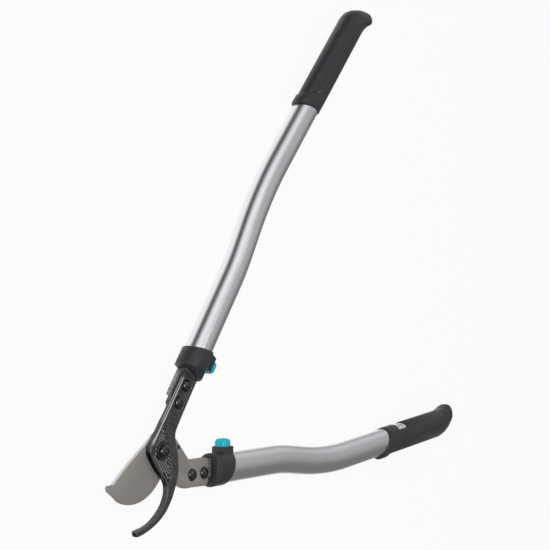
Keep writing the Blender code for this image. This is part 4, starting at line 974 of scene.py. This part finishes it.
def knurl_floor():
    """A thin sheet between the teeth, painted dark as shade, with a round opening for the
    bolt's washer.
    """
    work = bmesh.new()
    rim = [work.verts.new(Vector((x, y, 0)) * MM) for x, y in INNER_EDGE + OUTER_EDGE]
    opening = [work.verts.new(Vector((math.cos(a), math.sin(a), 0)) * OPENING_RADIUS * MM)
               for a in (math.tau * step / OPENING_CORNERS for step in range(OPENING_CORNERS))]
    edges = [work.edges.new((ring[index - 1], ring[index]))
             for ring in (rim, opening) for index in range(len(ring))]
    bmesh.ops.triangle_fill(work, use_beauty=True, use_dissolve=False, edges=edges)
    inside = [face for face in work.faces
              if face.calc_center_median().length < (OPENING_RADIUS - 0.2) * MM]
    bmesh.ops.delete(work, geom=inside, context="FACES")
    top = bmesh.ops.extrude_face_region(work, geom=work.faces[:])
    raised = [item for item in top["geom"] if isinstance(item, bmesh.types.BMVert)]
    bmesh.ops.translate(work, vec=(0, 0, SHEET_HEIGHT * MM), verts=raised)
    bmesh.ops.recalc_face_normals(work, faces=work.faces)
    mesh = bpy.data.meshes.new("knurl_floor")
    work.to_mesh(mesh)
    work.free()
    mesh.transform(Matrix.Translation((0, 0, (FIELD_FLOOR - SHEET_SUNK) * MM)))
    return piece("knurl_floor", mesh, KNURL_PAINTED_SHADE, "hook_head")


print("knurl floor:", len(knurl_floor().data.polygons), "faces")

# %% [markdown]
# The floor is a pale sheet close under the tool. The camera sees it white, and the rest
# of it is plain diffuse, so the tool's soft shadow stays on it. In the photograph's
# studio the tool hung high over its sheet. The metal shows that: white straight below,
# dark near the horizon. So the floor is left out of reflections, and the lower half of
# the world stands for the sheet there. Its reach and gap are in millimetres.

# %% Floor
FLOOR_REACH = 3000.0
FLOOR_GAP = 0.5
SHEET_GREY = (0.86, 0.86, 0.86, 1.0)
WHITE = (1.0, 1.0, 1.0, 1.0)
WHITE_SHARE = 0.93


def studio_floor():
    made = Finish("studio_floor", Roughness=0.9, Base_Color=SHEET_GREY)
    seen = made.maths("MAXIMUM", made.node("ShaderNodeLightPath", output="Is Camera Ray"),
                      made.node("ShaderNodeLightPath", output="Is Transmission Ray"))
    glow = made.node("ShaderNodeEmission", Color=WHITE, Strength=1.0)
    sheet = Field(made, made.surface.outputs[0])
    both = made.node("ShaderNodeMixShader",
                     numbered={0: seen * WHITE_SHARE, 1: sheet, 2: glow})
    made.feed(made.graph.nodes["Material Output"].inputs["Surface"], both)
    return made.material


floor_level = cad_box[0][2] / MM - FLOOR_GAP
floor_corners = [(x * FLOOR_REACH, y * FLOOR_REACH, floor_level)
                 for x, y in ((-1, -1), (1, -1), (1, 1), (-1, 1))]
floor = linked("floor", plain_mesh("floor", floor_corners, faces=[(0, 1, 2, 3)]))
floor.data.materials.append(studio_floor())
floor.visible_glossy = False
print("floor at", round(floor_level, 2), "mm")

# %% [markdown]
# Bright tubes show the whole room, so the room is what gives them their bands. The
# upper tube has a dark line where it mirrors the horizon and a broad bright band where
# it mirrors a soft box high on that side; the lower tube looks away from the soft box
# and stays grey, with one light line from the far end of the room. The world is built
# from these few lobes of light, each a dot product with its direction, between two
# values of it. A large lamp near the camera models the form, and a small one puts a
# bright spot on every screw head.

# %% World and lamps
ROOM_TONE = 0.19
SOFT_BOX = (0.22, 0.70, 0.68)
HALO, HALO_TONE = (-0.05, 0.45), 0.25
CORE, CORE_TONE = (0.77, 1.03), 0.57
DARK_SIDE = (0.0, 1.0, 0.0)
DARK_HEIGHT, DARK_REACH, DARKENING = 0.15, (0.08, 0.6), 0.8
FAR_END = (0.985, 0.10, 0.10)
FAR_LOBE, FAR_TONE = (0.93, 0.995), 0.2
SHEET_BELOW = (0.12, 0.58)


def studio_world():
    world = bpy.data.worlds.new("studio")
    world.use_nodes = True
    bpy.context.scene.world = world
    made = Tree(world.node_tree)
    way = made.node("ShaderNodeTexCoord", output="Generated")
    height = made.axis("Z", way)
    box = made.dot(way, SOFT_BOX)
    tone = ROOM_TONE + box.between(*HALO) * HALO_TONE + box.between(*CORE) * CORE_TONE
    near_horizon = 1.0 - made.maths("ABSOLUTE", height - DARK_HEIGHT).between(*DARK_REACH)
    dark_side = made.dot(way, DARK_SIDE).between(0.3, 0.9)
    tone = tone * (1.0 - near_horizon * dark_side * DARKENING)
    tone = tone + made.dot(way, FAR_END).between(*FAR_LOBE) * FAR_TONE
    sheet = (0.0 - height).between(*SHEET_BELOW)
    tone = tone * (1.0 - sheet) + sheet
    seen = made.node("ShaderNodeLightPath", output="Is Camera Ray")
    background = made.graph.nodes["Background"]
    background.inputs["Color"].default_value = WHITE
    made.feed(background.inputs["Strength"], made.maths("MAXIMUM", tone, seen))


def lamp(name, place, aim, size, power):
    """A square area lamp that looks at a point and isn't seen itself."""
    data = bpy.data.lights.new(name, "AREA")
    data.shape = "SQUARE"
    data.size = size
    data.energy = power
    made = linked(name, data)
    made.location = place
    made.rotation_euler = (Vector(aim) - Vector(place)).to_track_quat("-Z", "Y").to_euler()
    made.visible_camera = False
    return made


studio_world()
lamp("large_lamp", (-1.2, 0.8, 1.3), (0.15, 0.0, 0.01), 1.0, 17.0)
spot_maker = lamp("top_lamp", (0.50, 0.21, 1.3), (0.0, 0.0, 0.01), 0.14, 0.9)
spot_maker.visible_diffuse = False
print("world and two lamps")
